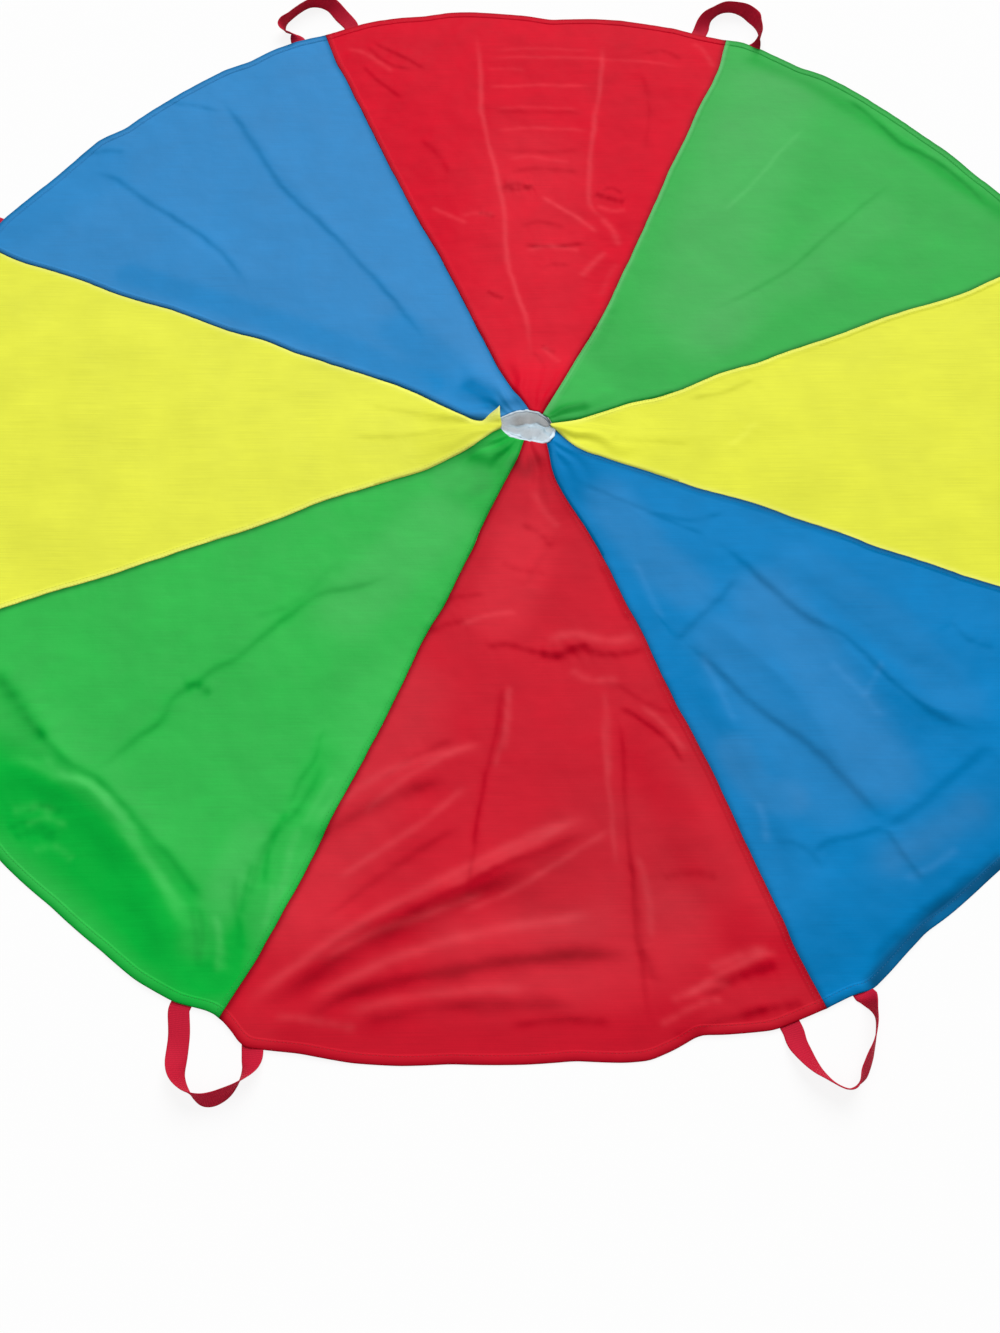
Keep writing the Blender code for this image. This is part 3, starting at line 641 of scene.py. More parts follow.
def fold_height(x, y):
    """The main folds, on the CAD model's routes, each with a sharp crest and hollow sides."""
    height = CROWN_RISE * smooth_fall(np.hypot(x - CROWN[0], y - CROWN[1]), CROWN_FLAT_RADIUS, CROWN_SPREAD)
    for rise, half_width, kept, routes in FOLDS:
        for shares in routes:
            route = smooth_points([on_bearing(bearing, CANOPY_RADIUS * share) for bearing, share in shares], 4)
            distance, _, share = route_distance(x, y, route)
            ends = end_fade(share, 0.3)
            blunt = np.hypot(distance, FOLD_ROUNDING) - FOLD_ROUNDING
            height += kept * rise * ends * (2 - ends) * np.clip(1 - blunt / half_width, 0.0, 1.0) ** 2
    return height


def pleat_height(x, y):
    """The radial pleats where the gores' tips bunch up round the vent."""
    dx, dy = x - CROWN[0], y - CROWN[1]
    radius, angle = np.hypot(dx, dy), np.arctan2(dy, dx)
    wander = angle + 0.12 * noise(radius / 0.05, angle * 1.3, 41)
    wave = np.cos(11 * wander + 0.6) + 0.6 * np.cos(17 * wander + 2.1) + 0.4 * np.cos(27 * wander + 4.0)
    swell = smooth_fall(radius, 0.050, 0.210) * (0.35 + 0.65 * (1 - smooth_fall(radius, 0.030, 0.065)))
    return PLEAT_HEIGHT * wave * swell


def vent_share(bearing):
    """How far the vent's edge lies out from the crown, as a share of its even oval."""
    return smoothed(bearing, *np.array(VENT_OUTLINE).T, 4.5, around=True)


def seam_sway(seam, along):
    """How far a seam lies off the straight line between its two ends."""
    seam = seam % GORE_COUNT
    bow = smoothed(along, SEAM_BOW_SHARES, np.array(SEAM_BOWS[seam]) / 1000, 0.008)
    free = np.clip(np.minimum(along / 0.15, (1 - along) / 0.12), 0.0, 1.0)
    return bow + SEAM_SWAY * free * (noise(along * 18, seam * 7.3, 51) + 0.5 * noise(along * 40, seam * 5.1, 52))


def flap_share(gore, across, along):
    """How much a point belongs to the flap that stands up at the left yellow gore's tip."""
    if gore != FLAP_GORE:
        return np.zeros(np.broadcast(across, along).shape)
    return np.exp(-across / 0.20) * np.clip(1 - along / 0.024, 0.0, 1.0) ** 1.3


def gore_plan(gore, across, along):
    """Points of a gore in plan, across from 0 to 1 between its seams, along from 0 at the vent to 1 at the rim."""
    first, second = gore - 1, gore
    bearing = seam_bearing(first) * (1 - across) + seam_bearing(second) * across
    ends = SEAM_END_SHARES[first % GORE_COUNT] * (1 - across) + SEAM_END_SHARES[second] * across
    reach = CANOPY_RADIUS * (ends - 4 * across * (1 - across) * RIM_DRAW_SHARES[gore])
    bearings, waves = np.array(RIM_WAVE).T
    rim = on_bearing(bearing, reach + smoothed(bearing, bearings, waves / 1000, 0.25, around=True))
    tip = vent_bearing(first) * (1 - across) + vent_bearing(second) * across
    overlap = 1 - TIP_OVERLAP * np.sin(math.pi * across) * (gore in TIPS_OVER_VENT)
    angle = np.radians(tip)
    vent = np.stack((VENT_HALF_WIDTH * np.cos(angle), VENT_HALF_DEPTH * np.sin(angle)), axis=-1)
    vent = CROWN + vent * (vent_share(tip) * overlap)[..., None]
    along = np.broadcast_to(along, np.shape(across))
    angle = np.radians(bearing)
    sway = seam_sway(first, along) * (1 - across) + seam_sway(second, along) * across
    aside = np.stack((-np.sin(angle), np.cos(angle)), axis=-1)
    plan = vent + (rim - vent) * along[..., None] + aside * sway[..., None]
    return plan + flap_share(gore, across, along)[..., None] * np.array(FLAP_LEAN)


def gore_width(gore, along):
    first, second = gore_plan(gore, np.zeros_like(along), along), gore_plan(gore, np.ones_like(along), along)
    return np.hypot(*(second - first).T)


def gore_form(gore, across, along):
    """A gore's points: plan, height of the underside, thickness, brightness with its painted shade and light, and
    painted sheen.
    """
    _, _, _, crumple, edges, (painted_brightness, painted_haze) = GORES[gore]
    across, along = np.broadcast_arrays(np.asarray(across, float), np.asarray(along, float))
    plan = gore_plan(gore, across, along)
    x, y = plan.T
    width = gore_width(gore, along)
    from_first, from_second = across * width, (1 - across) * width
    from_rim = (1 - along) * GORE_LENGTH
    radius = np.hypot(x - CROWN[0], y - CROWN[1])
    seam_near = np.minimum(from_first, from_second)
    flap = flap_share(gore, across, along)

    inside = (1 - smooth_fall(seam_near, 0.0, 0.11)) * (1 - smooth_fall(from_rim, 0.0, 0.07))
    inside = inside * (1 - smooth_fall(radius, 0.08, 0.24))
    height = fold_height(x, y) + pleat_height(x, y) + FLAP_RISE * flap
    if gore in TIPS_OVER_VENT:
        height += TIP_RISE * smooth_fall(radius, 0.040, 0.070) * np.sqrt(np.sin(math.pi * across).clip(0.0))
    height += inside * PUFF * (1 + 0.5 * noise(x / 0.22, y / 0.22, 61))
    height += WAVE_HEIGHT * (0.25 + 0.75 * inside) * noise(x / 0.085, y / 0.085, 62)
    creases, painted_shade_and_light, sheen_lost, painted_sheen = crease_form(x, y)
    # A painted highlight on the flap
    painted_sheen = painted_sheen + FLAP_PAINTED_HIGHLIGHT * flap
    height += RIM_DIP * (1 - smooth_fall(from_rim, 0.0, 0.03)) + creases
    crumpled = COARSE_CRUMPLE * noise(x / 0.038, y / 0.038, 63) + FINE_CRUMPLE * noise(x / 0.017, y / 0.017, 64)
    height += crumple * crumpled

    # Puckers along both seams and the rim
    for seam, distance in ((gore - 1, from_first), (gore, from_second)):
        seed = seam % GORE_COUNT
        ripple = noise(radius / 0.017, seed * 3.7, 71) + 0.6 * noise(radius / 0.009, seed * 2.9, 72)
        fade = np.exp(-distance / 0.014) * (1 - smooth_fall(radius, 0.10, 0.20))
        height += SEAM_PUCKER * fade * ripple
    rim_arc = np.arctan2(y, x) * CANOPY_RADIUS + 0.35 * from_rim
    ripple = noise(rim_arc / 0.020, 0.5, 73) + 0.6 * noise(rim_arc / 0.011, 4.5, 74)
    height += RIM_PUCKER * np.exp(-from_rim / 0.020) * ripple

    # The cloth never sinks below the floor or the sewn ends of the handles
    height = tab_height(x, y) + (height + np.sqrt(height**2 + FLOOR_SOFTNESS**2)) / 2

    hem = smooth_fall(from_rim, HEM_WIDTH - 0.0006, HEM_WIDTH + 0.0006)
    fell = smooth_fall(from_second, FELL_WIDTH - 0.0005, FELL_WIDTH + 0.0006)
    fell = fell * (1 - smooth_fall(radius, 0.06, 0.10)) * 0.8 + fell * 0.2
    thickness = CLOTH + (HEM - CLOTH) * hem + (FELL - CLOTH) * fell * (1 - 0.6 * hem)
    groove = bell(from_rim - HEM_ROW, 0.0009)
    for inset in FELL_ROWS:
        groove = np.maximum(groove, 0.8 * bell(from_second - inset, 0.0008))
    thickness = thickness - STITCH_GROOVE * groove
    rounded = np.clip(1 - np.minimum(from_rim / 0.0009, seam_near / 0.0005), 0.0, 1.0)
    thickness = thickness * (1 - 0.55 * rounded**2)

    # Painted shade along the rim, painted shade or a painted highlight with painted sheen along each seam, and a
    # random mottle
    at_rim = bell(from_rim, PAINTED_EDGE_SHADE_WIDTH)
    mottle = noise(x / 0.050, y / 0.050, 81) + 0.7 * noise(x / 0.020, y / 0.020, 82)
    shade = 1 + painted_shade_and_light - RIM_PAINTED_SHADE * at_rim + MOTTLE * crumple * mottle
    painted_haze = painted_haze * (1 - sheen_lost) * (1 - at_rim) + painted_sheen
    for edge, distance in zip(edges, (from_first, from_second)):
        at_edge = bell(distance, PAINTED_EDGE_SHADE_WIDTH)
        shade += (edge - 1) * at_edge
        painted_haze = painted_haze * (1 - 0.8 * at_edge) if edge < 1 else painted_haze + EDGE_PAINTED_HIGHLIGHT * at_edge
    return plan, height, thickness, shade * painted_brightness, painted_haze


def column_shares(width, columns):
    """Where a gore's columns lie across it: bands along each seam, and even columns between."""
    fine = np.array((0.0, 0.0006, 0.0016, 0.0036, 0.0056, 0.0064, 0.0078, 0.0088, 0.0110))
    band = fine[:: OUTER_COLUMNS // columns] * min(1.0, 0.30 * width / fine[-1]) / width
    edge = EDGE_GAP / width
    even = np.linspace(band[-1], 1 - band[-1], columns - 2 * (len(band) - 1) + 1)
    shares = np.concatenate((band[:-1], even, (1 - band[:-1])[::-1]))
    return np.clip(shares, edge, 1 - edge)


def row_shares():
    """Where a gore's rows lie along it, with the columns of each row."""
    hem = (0.0160, 0.0135, 0.0126, 0.0120, 0.0114, 0.0107, 0.0102, 0.0097, 0.0085, 0.0060, 0.0032, 0.0014, 0.0006, 0.0)
    even_end = 1 - 0.0200 / GORE_LENGTH
    count = 2 * round(even_end * GORE_LENGTH / ROW_STEP / 2)
    along = [even_end * row / count for row in range(count + 1)] + [1 - distance / GORE_LENGTH for distance in hem]
    rows = []
    for row, share in enumerate(along):
        settled = along[row - row % 2]
        shrink = 4 if settled < CORE_RADIUS_SHARES[0] else 2 if settled < CORE_RADIUS_SHARES[1] else 1
        rows.append((share, OUTER_COLUMNS // shrink))
    return rows


def new_mesh(name, vertices, faces):
    mesh = bpy.data.meshes.new(name)
    mesh.from_pydata(vertices, [], faces)
    mesh.shade_smooth()
    obj = bpy.data.objects.new(name, mesh)
    bpy.context.scene.collection.objects.link(obj)
    return obj


def add_values(obj, name, values):
    attribute = obj.data.attributes.new(name, "FLOAT", "POINT")
    attribute.data.foreach_set("value", np.asarray(values, np.float32))


def shell_faces(rows, starts):
    """The faces of one side of a gore, and its edge round the outside."""
    faces = []
    for (inner, outer), (a, b) in zip(zip(rows, rows[1:]), zip(starts, starts[1:])):
        if inner == outer:
            faces += [(a + j, b + j, b + j + 1, a + j + 1) for j in range(inner)]
        else:
            for j in range(inner):
                k = 2 * j
                faces += [(a + j, b + k, b + k + 1), (a + j, b + k + 1, a + j + 1), (a + j + 1, b + k + 1, b + k + 2)]
    edge = starts + [starts[-1] + j for j in range(1, rows[-1] + 1)]
    edge += [start + count for start, count in zip(starts[-2::-1], rows[-2::-1])]
    edge += [starts[0] + j for j in range(rows[0] - 1, 0, -1)]
    return faces, edge


def lowest_near(heights, cells):
    """The lowest of a row's heights round each of the coarser row's points."""
    step = (len(heights) - 1) // cells
    padded = np.pad(heights, step, mode="edge")
    return np.array([padded[k * step:k * step + 2 * step + 1].min() for k in range(cells + 1)])


def make_gore(gore, name):
    """One gore: a fine top, a coarser underside below it, and the edge between them."""
    rows = row_shares()
    counts = [columns for _, columns in rows]
    starts, across, along = [], [], []
    for share, columns in rows:
        starts.append(len(across))
        across += column_shares(gore_width(gore, np.array((share,)))[0], columns).tolist()
        along += [share] * (columns + 1)
    plan, height, thickness, shade, painted_haze = gore_form(gore, across, along)
    over = np.column_stack((plan, height + thickness))
    faces, edge = shell_faces(counts, starts)

    below, below_counts, below_starts = [], [], []
    for row in range(0, len(rows), 2):
        cells = counts[row] // 2
        near = [r for r in (row - 1, row, row + 1) if 0 <= r < len(rows)]
        lowest = np.min([lowest_near(height[starts[r]:starts[r] + counts[r] + 1], cells) for r in near], axis=0)
        below_starts.append(len(below))
        below_counts.append(cells)
        for k in range(cells + 1):
            below.append((*plan[starts[row] + 2 * k], max(0.0, lowest[k] - UNDERSIDE_GAP)))
    below_faces, below_edge = shell_faces(below_counts, below_starts)
    count = len(over)
    faces += [tuple(count + index for index in reversed(face)) for face in below_faces]
    for k, low in enumerate(below_edge):
        low, low_next = count + low, count + below_edge[(k + 1) % len(below_edge)]
        top, middle, top_next = edge[2 * k], edge[2 * k + 1], edge[(2 * k + 2) % len(edge)]
        faces += [(low, middle, top), (low, low_next, middle), (low_next, top_next, middle)]
    obj = new_mesh(name, over.tolist() + below, faces)
    # The underside takes the gore's own painted brightness and painted sheen
    painted_brightness, painted_sheen = GORES[gore][5]
    add_values(obj, "shade", np.concatenate((shade, np.full(len(below), painted_brightness))))
    add_values(obj, "painted_sheen", np.concatenate((painted_haze, np.full(len(below), painted_sheen))))
    return obj


def make_stitches(name, gore, rows):
    """Thread lying on a gore: one slender spindle for each stitch of each row, given as across and along."""
    starts, ends = [], []
    for across, along in rows:
        plan, height, thickness, *_ = gore_form(gore, across, along)
        points = np.column_stack((plan, height + thickness + STITCH_LIFT))
        gap = (points[1:] - points[:-1]) * STITCH_GAP_SHARE
        starts += (points[:-1] + gap).tolist()
        ends += (points[1:] - gap).tolist()
    vertices, faces = [], []
    for start, end in zip(starts, ends):
        start, end = Vector(start), Vector(end)
        run = (end - start).normalized()
        aside = run.cross(Vector((0.0, 0.0, 1.0))).normalized() * STITCH_RADIUS
        up = aside.cross(run).normalized() * STITCH_RADIUS
        middle = (start + end) / 2
        base = len(vertices)
        vertices += [start, middle + aside, middle + up, middle - aside, middle - up, end]
        for a, b in ((1, 2), (2, 3), (3, 4), (4, 1)):
            faces += [(base, base + b, base + a), (base + 5, base + a, base + b)]
    return new_mesh(name, [tuple(vertex) for vertex in vertices], faces)


def fell_rows(gore):
    """The two rows of stitches on a gore's felled seam."""
    count = round((GORE_LENGTH - FELL_ROW_START) / STITCH_PITCH)
    along = np.linspace(FELL_ROW_START / GORE_LENGTH, 1 - FELL_ROW_END / GORE_LENGTH, count + 1)
    width = gore_width(gore, along)
    return [(1 - inset / width, along) for inset in FELL_ROWS]


def hem_rows():
    """The row of stitches on a gore's hem."""
    across = np.linspace(0.004, 0.996, round(HEM_CHORD / STITCH_PITCH) + 1)
    return [(across, 1 - HEM_ROW / GORE_LENGTH)]


def rise_ends():
    """For each gore, where its bend from the flat canopy to the rising crown starts and ends.

    Each gore's rise is a slope from 0 at its rim to 1 at the crown. The eight slopes are fitted together, so that
    neighbours stay joined along their bowed seams.
    """
    rows, values = [], []

    def want(parts, pull, value):
        row = np.zeros(3 * GORE_COUNT)
        for gore, sign, (x, y) in parts:
            row[3 * gore : 3 * gore + 3] = sign * x, sign * y, sign
        rows.append(pull * row)
        values.append(pull * value)

    along = np.linspace(0.0, 1.0, 51)
    for seam in range(GORE_COUNT):
        after, end = (seam + 1) % GORE_COUNT, seam_end(seam)
        for point in gore_plan(seam, np.ones_like(along), along):
            rise = RISE_AT_CROWN * (1 - np.hypot(*(point - CROWN)) / np.hypot(*(end - CROWN)))
            want(((seam, 1, point), (after, -1, point)), 0.2 + 6 * max(0.0, rise * (1 - rise)), 0.0)
        for gore in (seam, after):
            want(((gore, 1, end),), 0.2, 0.0)
            want(((gore, 1, CROWN),), 0.2, RISE_AT_CROWN)
    fitted = np.linalg.lstsq(np.array(rows), np.array(values), rcond=None)[0].reshape(GORE_COUNT, 3)
    ends = []
    for slope_x, slope_y, level in fitted:
        steepest = np.array((slope_x, slope_y)) / (slope_x**2 + slope_y**2)
        ends.append(((*(-level * steepest), 0.0), (*((1 - level) * steepest), 0.0)))
    return ends


def net_shade(x, y):
    """How bright the net and its tape are at a point, from the folds' shadows."""
    shade = np.ones(np.shape(x))
    for change, width, numbers in NET_SHADES:
        shade += change * bell(route_distance(x, y, table_route(numbers))[0], width)
    return shade


def vent_form(x, y):
    """The height of the bunched net and its binding."""
    dx, dy = (x - CROWN[0]) / VENT_HALF_WIDTH, (y - CROWN[1]) / VENT_HALF_DEPTH
    inside = smooth_fall(np.hypot(dx, dy), 0.45, 1.0)
    height = CROWN_RISE + pleat_height(x, y)
    height += inside * (0.0045 * noise(x / 0.016, y / 0.022, 81) + 0.0016 * noise(x / 0.007, y / 0.010, 82))
    for numbers, depth, width in NET_FOLDS:
        fold = route_distance(x - CROWN[0], y - CROWN[1], table_route(numbers))[0]
        height -= depth * np.exp(-((fold / width) ** 2) / 2)
    return height


def make_net():
    """A fine diamond net with real strands, cut to the oval inside the binding."""
    half_width, half_depth = VENT_HALF_WIDTH - NET_INSET, VENT_HALF_DEPTH - NET_INSET
    count = int(half_width / NET_CELL) + 2
    index, vertices, faces = {}, [], []

    def corner(i, j):
        if (i, j) not in index:
            x = CROWN[0] + (i - j) * NET_CELL / 2 * NET_STRETCH
            y = CROWN[1] + (i + j) * NET_CELL / 2
            x += 0.0008 * float(noise(x / 0.01, y / 0.01, 83))
            index[(i, j)] = len(vertices)
            vertices.append((x, y))
        return index[(i, j)]

    for i in range(-2 * count, 2 * count):
        for j in range(-2 * count, 2 * count):
            x, y = (i - j) * NET_CELL / 2 * NET_STRETCH, (i + j + 1) * NET_CELL / 2
            bearing = math.degrees(math.atan2(y / half_depth, x / half_width))
            if math.hypot(x / half_width, y / half_depth) < float(vent_share(bearing)):
                faces.append((corner(i, j), corner(i + 1, j), corner(i + 1, j + 1), corner(i, j + 1)))
    x, y = np.array(vertices).T
    obj = new_mesh("vent_netting", np.column_stack((x, y, vent_form(x, y) + NET_LIFT)).tolist(), faces)
    add_values(obj, "shade", net_shade(x, y))
    strands = obj.modifiers.new("strands", "WIREFRAME")
    strands.thickness = NET_STRAND
    strands.use_replace = True
    strands.use_even_offset = False
    strands.use_boundary = True
    return obj


def make_binding():
    """A puckered tape, folded over the edge of the vent."""
    vertices, faces = [], []
    for segment in range(BINDING_SEGMENTS):
        angle = math.tau * segment / BINDING_SEGMENTS
        out = np.array((math.cos(angle), math.sin(angle)))
        pucker = 1 + 0.02 * float(noise(segment / 3.0, 0.5, 84))
        pucker *= float(vent_share(math.degrees(angle)))
        middle = CROWN + out * (VENT_HALF_WIDTH - BINDING_INSET, VENT_HALF_DEPTH - BINDING_INSET) * pucker
        level = float(vent_form(middle[0], middle[1])) + BINDING_LIFT
        for step in range(BINDING_RING):
            turn = math.tau * step / BINDING_RING
            wide, tall = (
                size * math.copysign(abs(value) ** 0.6, value)
                for size, value in ((BINDING_HALF_WIDTH, math.cos(turn)), (BINDING_HALF_THICKNESS, math.sin(turn)))
            )
            tall += 0.0003 * float(noise(segment / 1.6, step, 85))
            vertices.append((*(middle + out * wide), level + tall))
        a, b = segment * BINDING_RING, (segment + 1) % BINDING_SEGMENTS * BINDING_RING
        for step in range(BINDING_RING):
            after = (step + 1) % BINDING_RING
            faces.append((a + step, a + after, b + after, b + step))
    obj = new_mesh("vent_tape", vertices, faces)
    add_values(obj, "shade", net_shade(*np.array(vertices)[:, :2].T))
    return obj


def handle_frame(seam):
    end = seam_end(seam)
    turn = Matrix.Rotation(math.radians(seam_bearing(seam) - 90.0), 4, "Z")
    return Matrix.Translation((end[0], end[1], HINGE_HEIGHT)) @ turn


def handle_path(seam):
    """The middle line of a handle in plan, in its own frame: a sewn end, the free loop and the other sewn end."""
    half_span = HANDLE_SPAN / 2
    lead = CLEARANCE + HANDLE_LEAD
    points = [(-half_span, CLEARANCE), (-half_span, lead)]
    points += [(half_span * along, HANDLE_REACH * out) for along, out in HANDLE_ROUTE_SHARES[seam]]
    points += [(half_span, lead), (half_span, CLEARANCE)]
    points = [np.array(point) for point in points]
    tab = np.linspace(-TAB_LENGTH, 0.0, 12, endpoint=False)
    line = np.vstack((
        np.column_stack((np.full(len(tab), -half_span), tab)),
        [points[0], *curve(points, 12), points[-1]],
        np.column_stack((np.full(len(tab), half_span), tab[::-1])),
    ))
    reached = np.concatenate(((0.0,), np.cumsum(np.hypot(*np.diff(line, axis=0).T))))
    stops = np.linspace(0.0, reached[-1], int(reached[-1] / WEBBING_STEP) + 1)
    path = np.column_stack([np.interp(stops, reached, line[:, axis]) for axis in (0, 1)])
    kernel = np.array((1, 2, 3, 2, 1)) / 9
    path[2:-2] = np.column_stack([np.convolve(path[:, axis], kernel, mode="valid") for axis in (0, 1)])
    return stops, path


def make_handle(seam):
    """One strip of webbing, twisting as it goes."""
    stops, path = handle_path(seam)
    share = np.clip((stops - TAB_LENGTH) / (stops[-1] - 2 * TAB_LENGTH), 0.0, 1.0)
    turn = np.radians(np.interp(share, *np.array(TURN_PROFILES.get(seam, PLAIN_TURN), float).T))
    turn = np.convolve(np.pad(turn, 4, mode="edge"), np.ones(9) / 9, mode="valid") * end_fade(share, 0.05)

    tangent = np.gradient(path, axis=0)
    tangent /= np.hypot(*tangent.T)[:, None]
    left = np.column_stack((-tangent[:, 1], tangent[:, 0]))
    half_width, half_thick = WEBBING_WIDTH / 2, WEBBING_THICKNESS / 2
    level = half_width * np.abs(np.sin(turn)) + half_thick * np.abs(np.cos(turn)) - HINGE_HEIGHT

    columns = [-1 + 2 * step / WEBBING_COLUMNS for step in range(WEBBING_COLUMNS + 1)]
    ring = [(u, 1) for u in columns] + [(u, -1) for u in reversed(columns)]
    vertices, weave = [], []
    for index, (place, aside, angle, height) in enumerate(zip(path, left, turn, level)):
        cup = 0.0006 * math.sin(angle) * float(noise(index / 9.0, seam * 3.1, 91))
        wide_way = np.array((*(aside * math.cos(angle)), math.sin(angle)))
        thick_way = np.array((*(-aside * math.sin(angle)), math.cos(angle)))
        centre = np.array((*place, height))
        for u, v in ring:
            edge = min(1.0, (1 - abs(u)) / 0.10)
            thick = half_thick * (0.45 + 0.55 * math.sqrt(max(0.0, 1 - (1 - edge) ** 2)))
            thick *= 1 - 0.10 * (0.5 + 0.5 * math.cos(math.pi * 6 * u))
            vertices.append(centre + wide_way * half_width * u + thick_way * (v * thick + cup * (1 - u * u)))
            weave.append((stops[index], u * half_width + v * 0.1, 0.0))
    size, count = len(ring), len(path) - 1
    faces = []
    for row in range(count):
        a, b = row * size, (row + 1) * size
        for step in range(size):
            after = (step + 1) % size
            faces.append((a + step, b + step, b + after, a + after))
    for base, way in ((0, 1), (count * size, -1)):
        for step in range(WEBBING_COLUMNS):
            face = (base + step, base + step + 1, base + size - 2 - step, base + size - 1 - step)
            faces.append(face[::way])
    placed = handle_frame(seam)
    obj = new_mesh(f"handle_webbing_{seam + 1}", [tuple(placed @ Vector(vertex)) for vertex in vertices], faces)
    attribute = obj.data.attributes.new("weave", "FLOAT_VECTOR", "POINT")
    attribute.data.foreach_set("vector", np.array(weave, np.float32).ravel())
    return obj


def fill(tree, target, inputs):
    """Gives each named input of a node its value or its link."""
    for name, value in inputs.items():
        if isinstance(value, bpy.types.NodeSocket):
            tree.links.new(value, target.inputs[name])
        else:
            target.inputs[name].default_value = value


def node(tree, kind, output, inputs, **settings):
    """One output of a new shader node."""
    made = tree.nodes.new(f"ShaderNode{kind}")
    for name, value in settings.items():
        setattr(made, name, value)
    fill(tree, made, inputs)
    return made.outputs[output]


def shader_nodes(name):
    material = bpy.data.materials.new(name)
    material.use_nodes = True
    tree = material.node_tree
    return material, tree, tree.nodes["Principled BSDF"]


def cloth_material(name):
    """Woven taffeta: a fine plain weave, faint streaks of uneven yarn and slightly uneven dye, with painted shade,
    light and sheen.
    """
    material, tree, shader = shader_nodes(name)
    place = node(tree, "TexCoord", "Object", {})
    blotch = node(tree, "TexNoise", "Fac", {"Scale": 9.0, "Detail": 4.0, "Vector": place})
    stretched = node(tree, "Mapping", "Vector", {"Scale": (12.0, 900.0, 12.0), "Vector": place})
    yarn = node(tree, "TexNoise", "Fac", {"Scale": 1.0, "Vector": stretched})
    both = node(tree, "Math", 0, {0: blotch, 1: yarn}, operation="ADD")
    uneven = {"From Min": 0.6, "From Max": 1.4, "To Min": 0.90, "To Max": 1.10, "Value": both}
    spread = node(tree, "MapRange", "Result", uneven)

    # Painted shade and light from the mesh on the uneven dye, and white mixed in as painted sheen
    shade = node(tree, "Attribute", "Fac", {}, attribute_name="shade")
    painted_sheen = node(tree, "Attribute", "Fac", {}, attribute_name="painted_sheen")
    painted_shade_factor = node(tree, "Math", 0, {0: shade, 1: spread}, operation="MULTIPLY")
    tint = node(tree, "HueSaturation", "Color", {"Color": (*COLOURS[name], 1.0), "Value": painted_shade_factor})
    mixed = node(tree, "Mix", 2, {0: painted_sheen, 6: tint, 7: WHITE}, data_type="RGBA")

    waves = {"Scale": 600.0, "Distortion": 0.6, "Vector": place}
    warp, weft = (node(tree, "TexWave", "Fac", waves, bands_direction=direction) for direction in ("X", "Y"))
    cross = node(tree, "Math", 0, {0: warp, 1: weft}, operation="MULTIPLY")
    crinkle = node(tree, "TexNoise", "Fac", {"Scale": 110.0, "Detail": 3.0, "Vector": place})
    fine = node(tree, "Bump", "Normal", {"Strength": 0.25, "Distance": 0.00006, "Height": cross})
    coarse = {"Strength": 0.35, "Distance": 0.0007, "Height": crinkle, "Normal": fine}
    sheen = node(tree, "MapRange", "Result", {"To Min": 0.38, "To Max": 0.50, "Value": blotch})
    fill(tree, shader, {
        "Base Color": mixed,
        "Normal": node(tree, "Bump", "Normal", coarse),
        "Roughness": sheen,
        "Specular IOR Level": GLOSS[name],
    })
    return material


def webbing_material(name):
    """Woven webbing: raised ribs across its width."""
    material, tree, shader = shader_nodes(name)
    along = node(tree, "Attribute", "Vector", {}, attribute_name="weave")
    ribs = node(tree, "TexWave", "Fac", {"Scale": 130.0, "Distortion": 1.0, "Vector": along}, bands_direction="X")
    rows = node(tree, "TexWave", "Fac", {"Scale": 200.0, "Vector": along}, bands_direction="Y")
    both = node(tree, "Math", 0, {0: ribs, 1: rows}, operation="MULTIPLY")
    shade = node(tree, "MapRange", "Result", {"To Min": 0.80, "To Max": 1.12, "Value": both})
    fill(tree, shader, {
        "Base Color": node(tree, "HueSaturation", "Color", {"Color": (*COLOURS[name], 1.0), "Value": shade}),
        "Normal": node(tree, "Bump", "Normal", {"Strength": 0.6, "Distance": 0.0003, "Height": both}),
        "Roughness": 0.72,
        "Specular IOR Level": 0.10,
    })
    return material


def fibre_material(name, colour, scale, shaded):
    """White tape, net or thread: fine fibres with slightly uneven whiteness, and on the net and tape painted shade
    from its folds.
    """
    material, tree, shader = shader_nodes(name)
    place = node(tree, "TexCoord", "Object", {})
    fibre = node(tree, "TexNoise", "Fac", {"Scale": scale, "Detail": 3.0, "Vector": place})
    shade = node(tree, "MapRange", "Result", {"To Min": 0.86, "To Max": 1.08, "Value": fibre})
    if shaded:
        # Painted shade and light from the folds of the net
        painted_shade_factor = node(tree, "Attribute", "Fac", {}, attribute_name="shade")
        shade = node(tree, "Math", 0, {0: shade, 1: painted_shade_factor}, operation="MULTIPLY")
    fill(tree, shader, {
        "Base Color": node(tree, "HueSaturation", "Color", {"Color": (*colour, 1.0), "Value": shade}),
        "Normal": node(tree, "Bump", "Normal", {"Strength": 0.4, "Distance": 0.0002, "Height": fibre}),
        "Roughness": 0.65,
    })
    return material


def make_floor():
    """A wide white floor. The camera sees it lifted to white, with the object's shadow kept."""
    bpy.ops.mesh.primitive_plane_add(size=60.0, location=(0.0, 0.0, -0.0006))
    floor = bpy.context.object
    floor.name = "studio_floor"
    material, tree, shader = shader_nodes("studio_white")
    fill(tree, shader, {"Base Color": (0.86, 0.86, 0.86, 1.0), "Roughness": 0.9, "Specular IOR Level": 0.0})
    glow = node(tree, "Emission", "Emission", {"Strength": 1.0})
    seen = node(tree, "LightPath", "Is Camera Ray", {})
    share = node(tree, "Math", 0, {0: seen, 1: FLOOR_GLOW}, operation="MULTIPLY")
    mix = node(tree, "MixShader", "Shader", {"Fac": share, 1: shader.outputs["BSDF"], 2: glow})
    fill(tree, tree.nodes["Material Output"], {"Surface": mix})
    floor.data.materials.append(material)


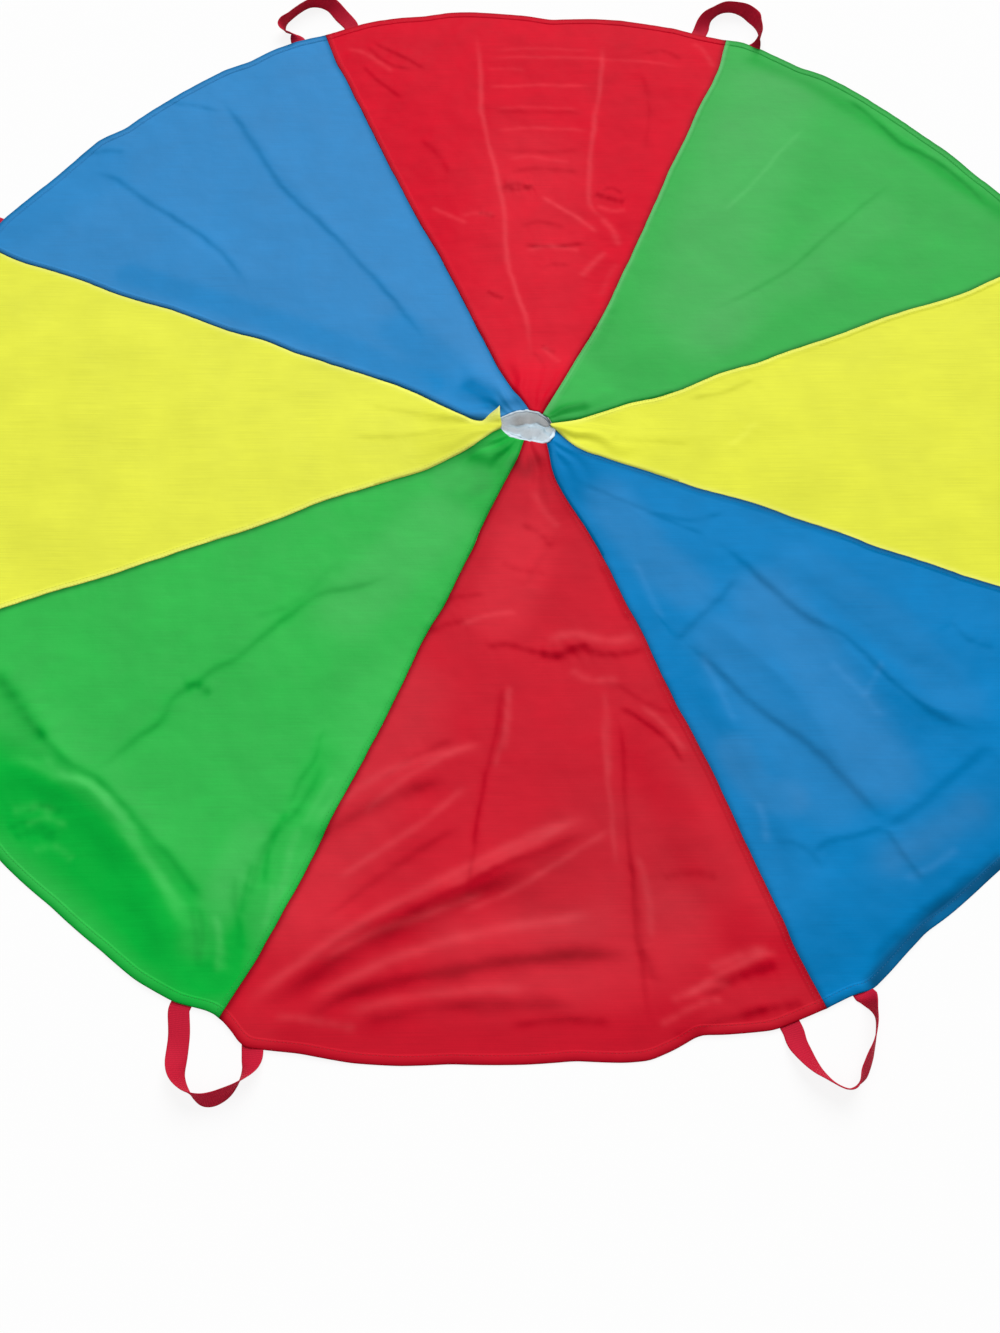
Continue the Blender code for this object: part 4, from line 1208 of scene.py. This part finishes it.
def area_light(name, place, size, power):
    """A round light, turned to the middle of the floor."""
    light = bpy.data.lights.new(name, "AREA")
    light.shape = "DISK"
    light.size = size
    light.energy = power
    obj = bpy.data.objects.new(name, light)
    obj.location = place
    obj.rotation_euler = (-Vector(place)).to_track_quat("-Z", "Y").to_euler()
    bpy.context.scene.collection.objects.link(obj)


def make_lights():
    """Two lights, and a world that the camera sees white although it lights the scene faintly."""
    area_light("key", (4.4, 17.1, 17.7), 22.0, 7200.0)
    area_light("fill", (-1.2, -3.6, 4.0), 3.0, 50.0)
    world = bpy.data.worlds.new("studio")
    world.use_nodes = True
    tree = world.node_tree
    seen = node(tree, "LightPath", "Is Camera Ray", {})
    rise = {0: seen, 1: 1.0 - WORLD_STRENGTH, 2: WORLD_STRENGTH}
    strength = node(tree, "Math", 0, rise, operation="MULTIPLY_ADD")
    fill(tree, tree.nodes["Background"], {"Color": WHITE, "Strength": strength})
    bpy.context.scene.world = world


def make_camera():
    camera = bpy.data.cameras.new("camera")
    camera.lens = 38.66
    camera.sensor_width = 36.0
    camera.sensor_fit = "AUTO"
    camera.clip_end = 100.0
    obj = bpy.data.objects.new("camera", camera)
    obj.location = (-0.025, -1.265, 1.645)
    obj.rotation_euler = (math.radians(28.25), 0.0, 0.0)
    bpy.context.scene.collection.objects.link(obj)
    bpy.context.scene.camera = obj


def make_cloth(materials):
    """The eight gores with their stitches."""
    for gore, ((name, part, slot, *_), (start, end)) in enumerate(zip(GORES, rise_ends())):
        cloth = make_gore(gore, name)
        cloth.data.materials.append(materials[slot])
        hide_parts(part)
        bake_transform(cloth)

        thread = tuple(value * 0.85 + 0.03 for value in COLOURS[slot])
        thread_material = fibre_material(f"{slot}_thread_{gore}", thread, 2000.0, False)
        seam_thread = make_stitches(f"{name}_seam_stitches", gore, fell_rows(gore))
        hem_thread = make_stitches(f"{name}_hem_stitches", gore, hem_rows())
        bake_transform(seam_thread)
        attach(hem_thread, "canopy")
        for piece in (seam_thread, hem_thread):
            piece.data.materials.append(thread_material)


def make_vent():
    """The net and its tape."""
    for obj, part, slot, scale in (
        (make_binding(), "vent_binding", "white_binding", 900.0),
        (make_net(), "vent_net", "white_net", 1400.0),
    ):
        obj.data.materials.append(fibre_material(slot, COLOURS[slot], scale, True))
        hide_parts(part)
        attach(obj, "crown")


def make_handles():
    """The eight handles, each a loop of webbing running from the canopy at the hem."""
    webbing = webbing_material("red_webbing")
    for seam in range(GORE_COUNT):
        handle = make_handle(seam)
        handle.data.materials.append(webbing)
        number = seam + 1
        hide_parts(f"handle_loop_{number}", f"handle_tab_{number}a", f"handle_tab_{number}b")
        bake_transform(handle)


def main():
    make_camera()
    make_lights()
    make_floor()
    make_cloth({name: cloth_material(name) for name in GLOSS})
    make_vent()
    make_handles()
    bpy.context.scene.view_settings.view_transform = "Standard"


main()
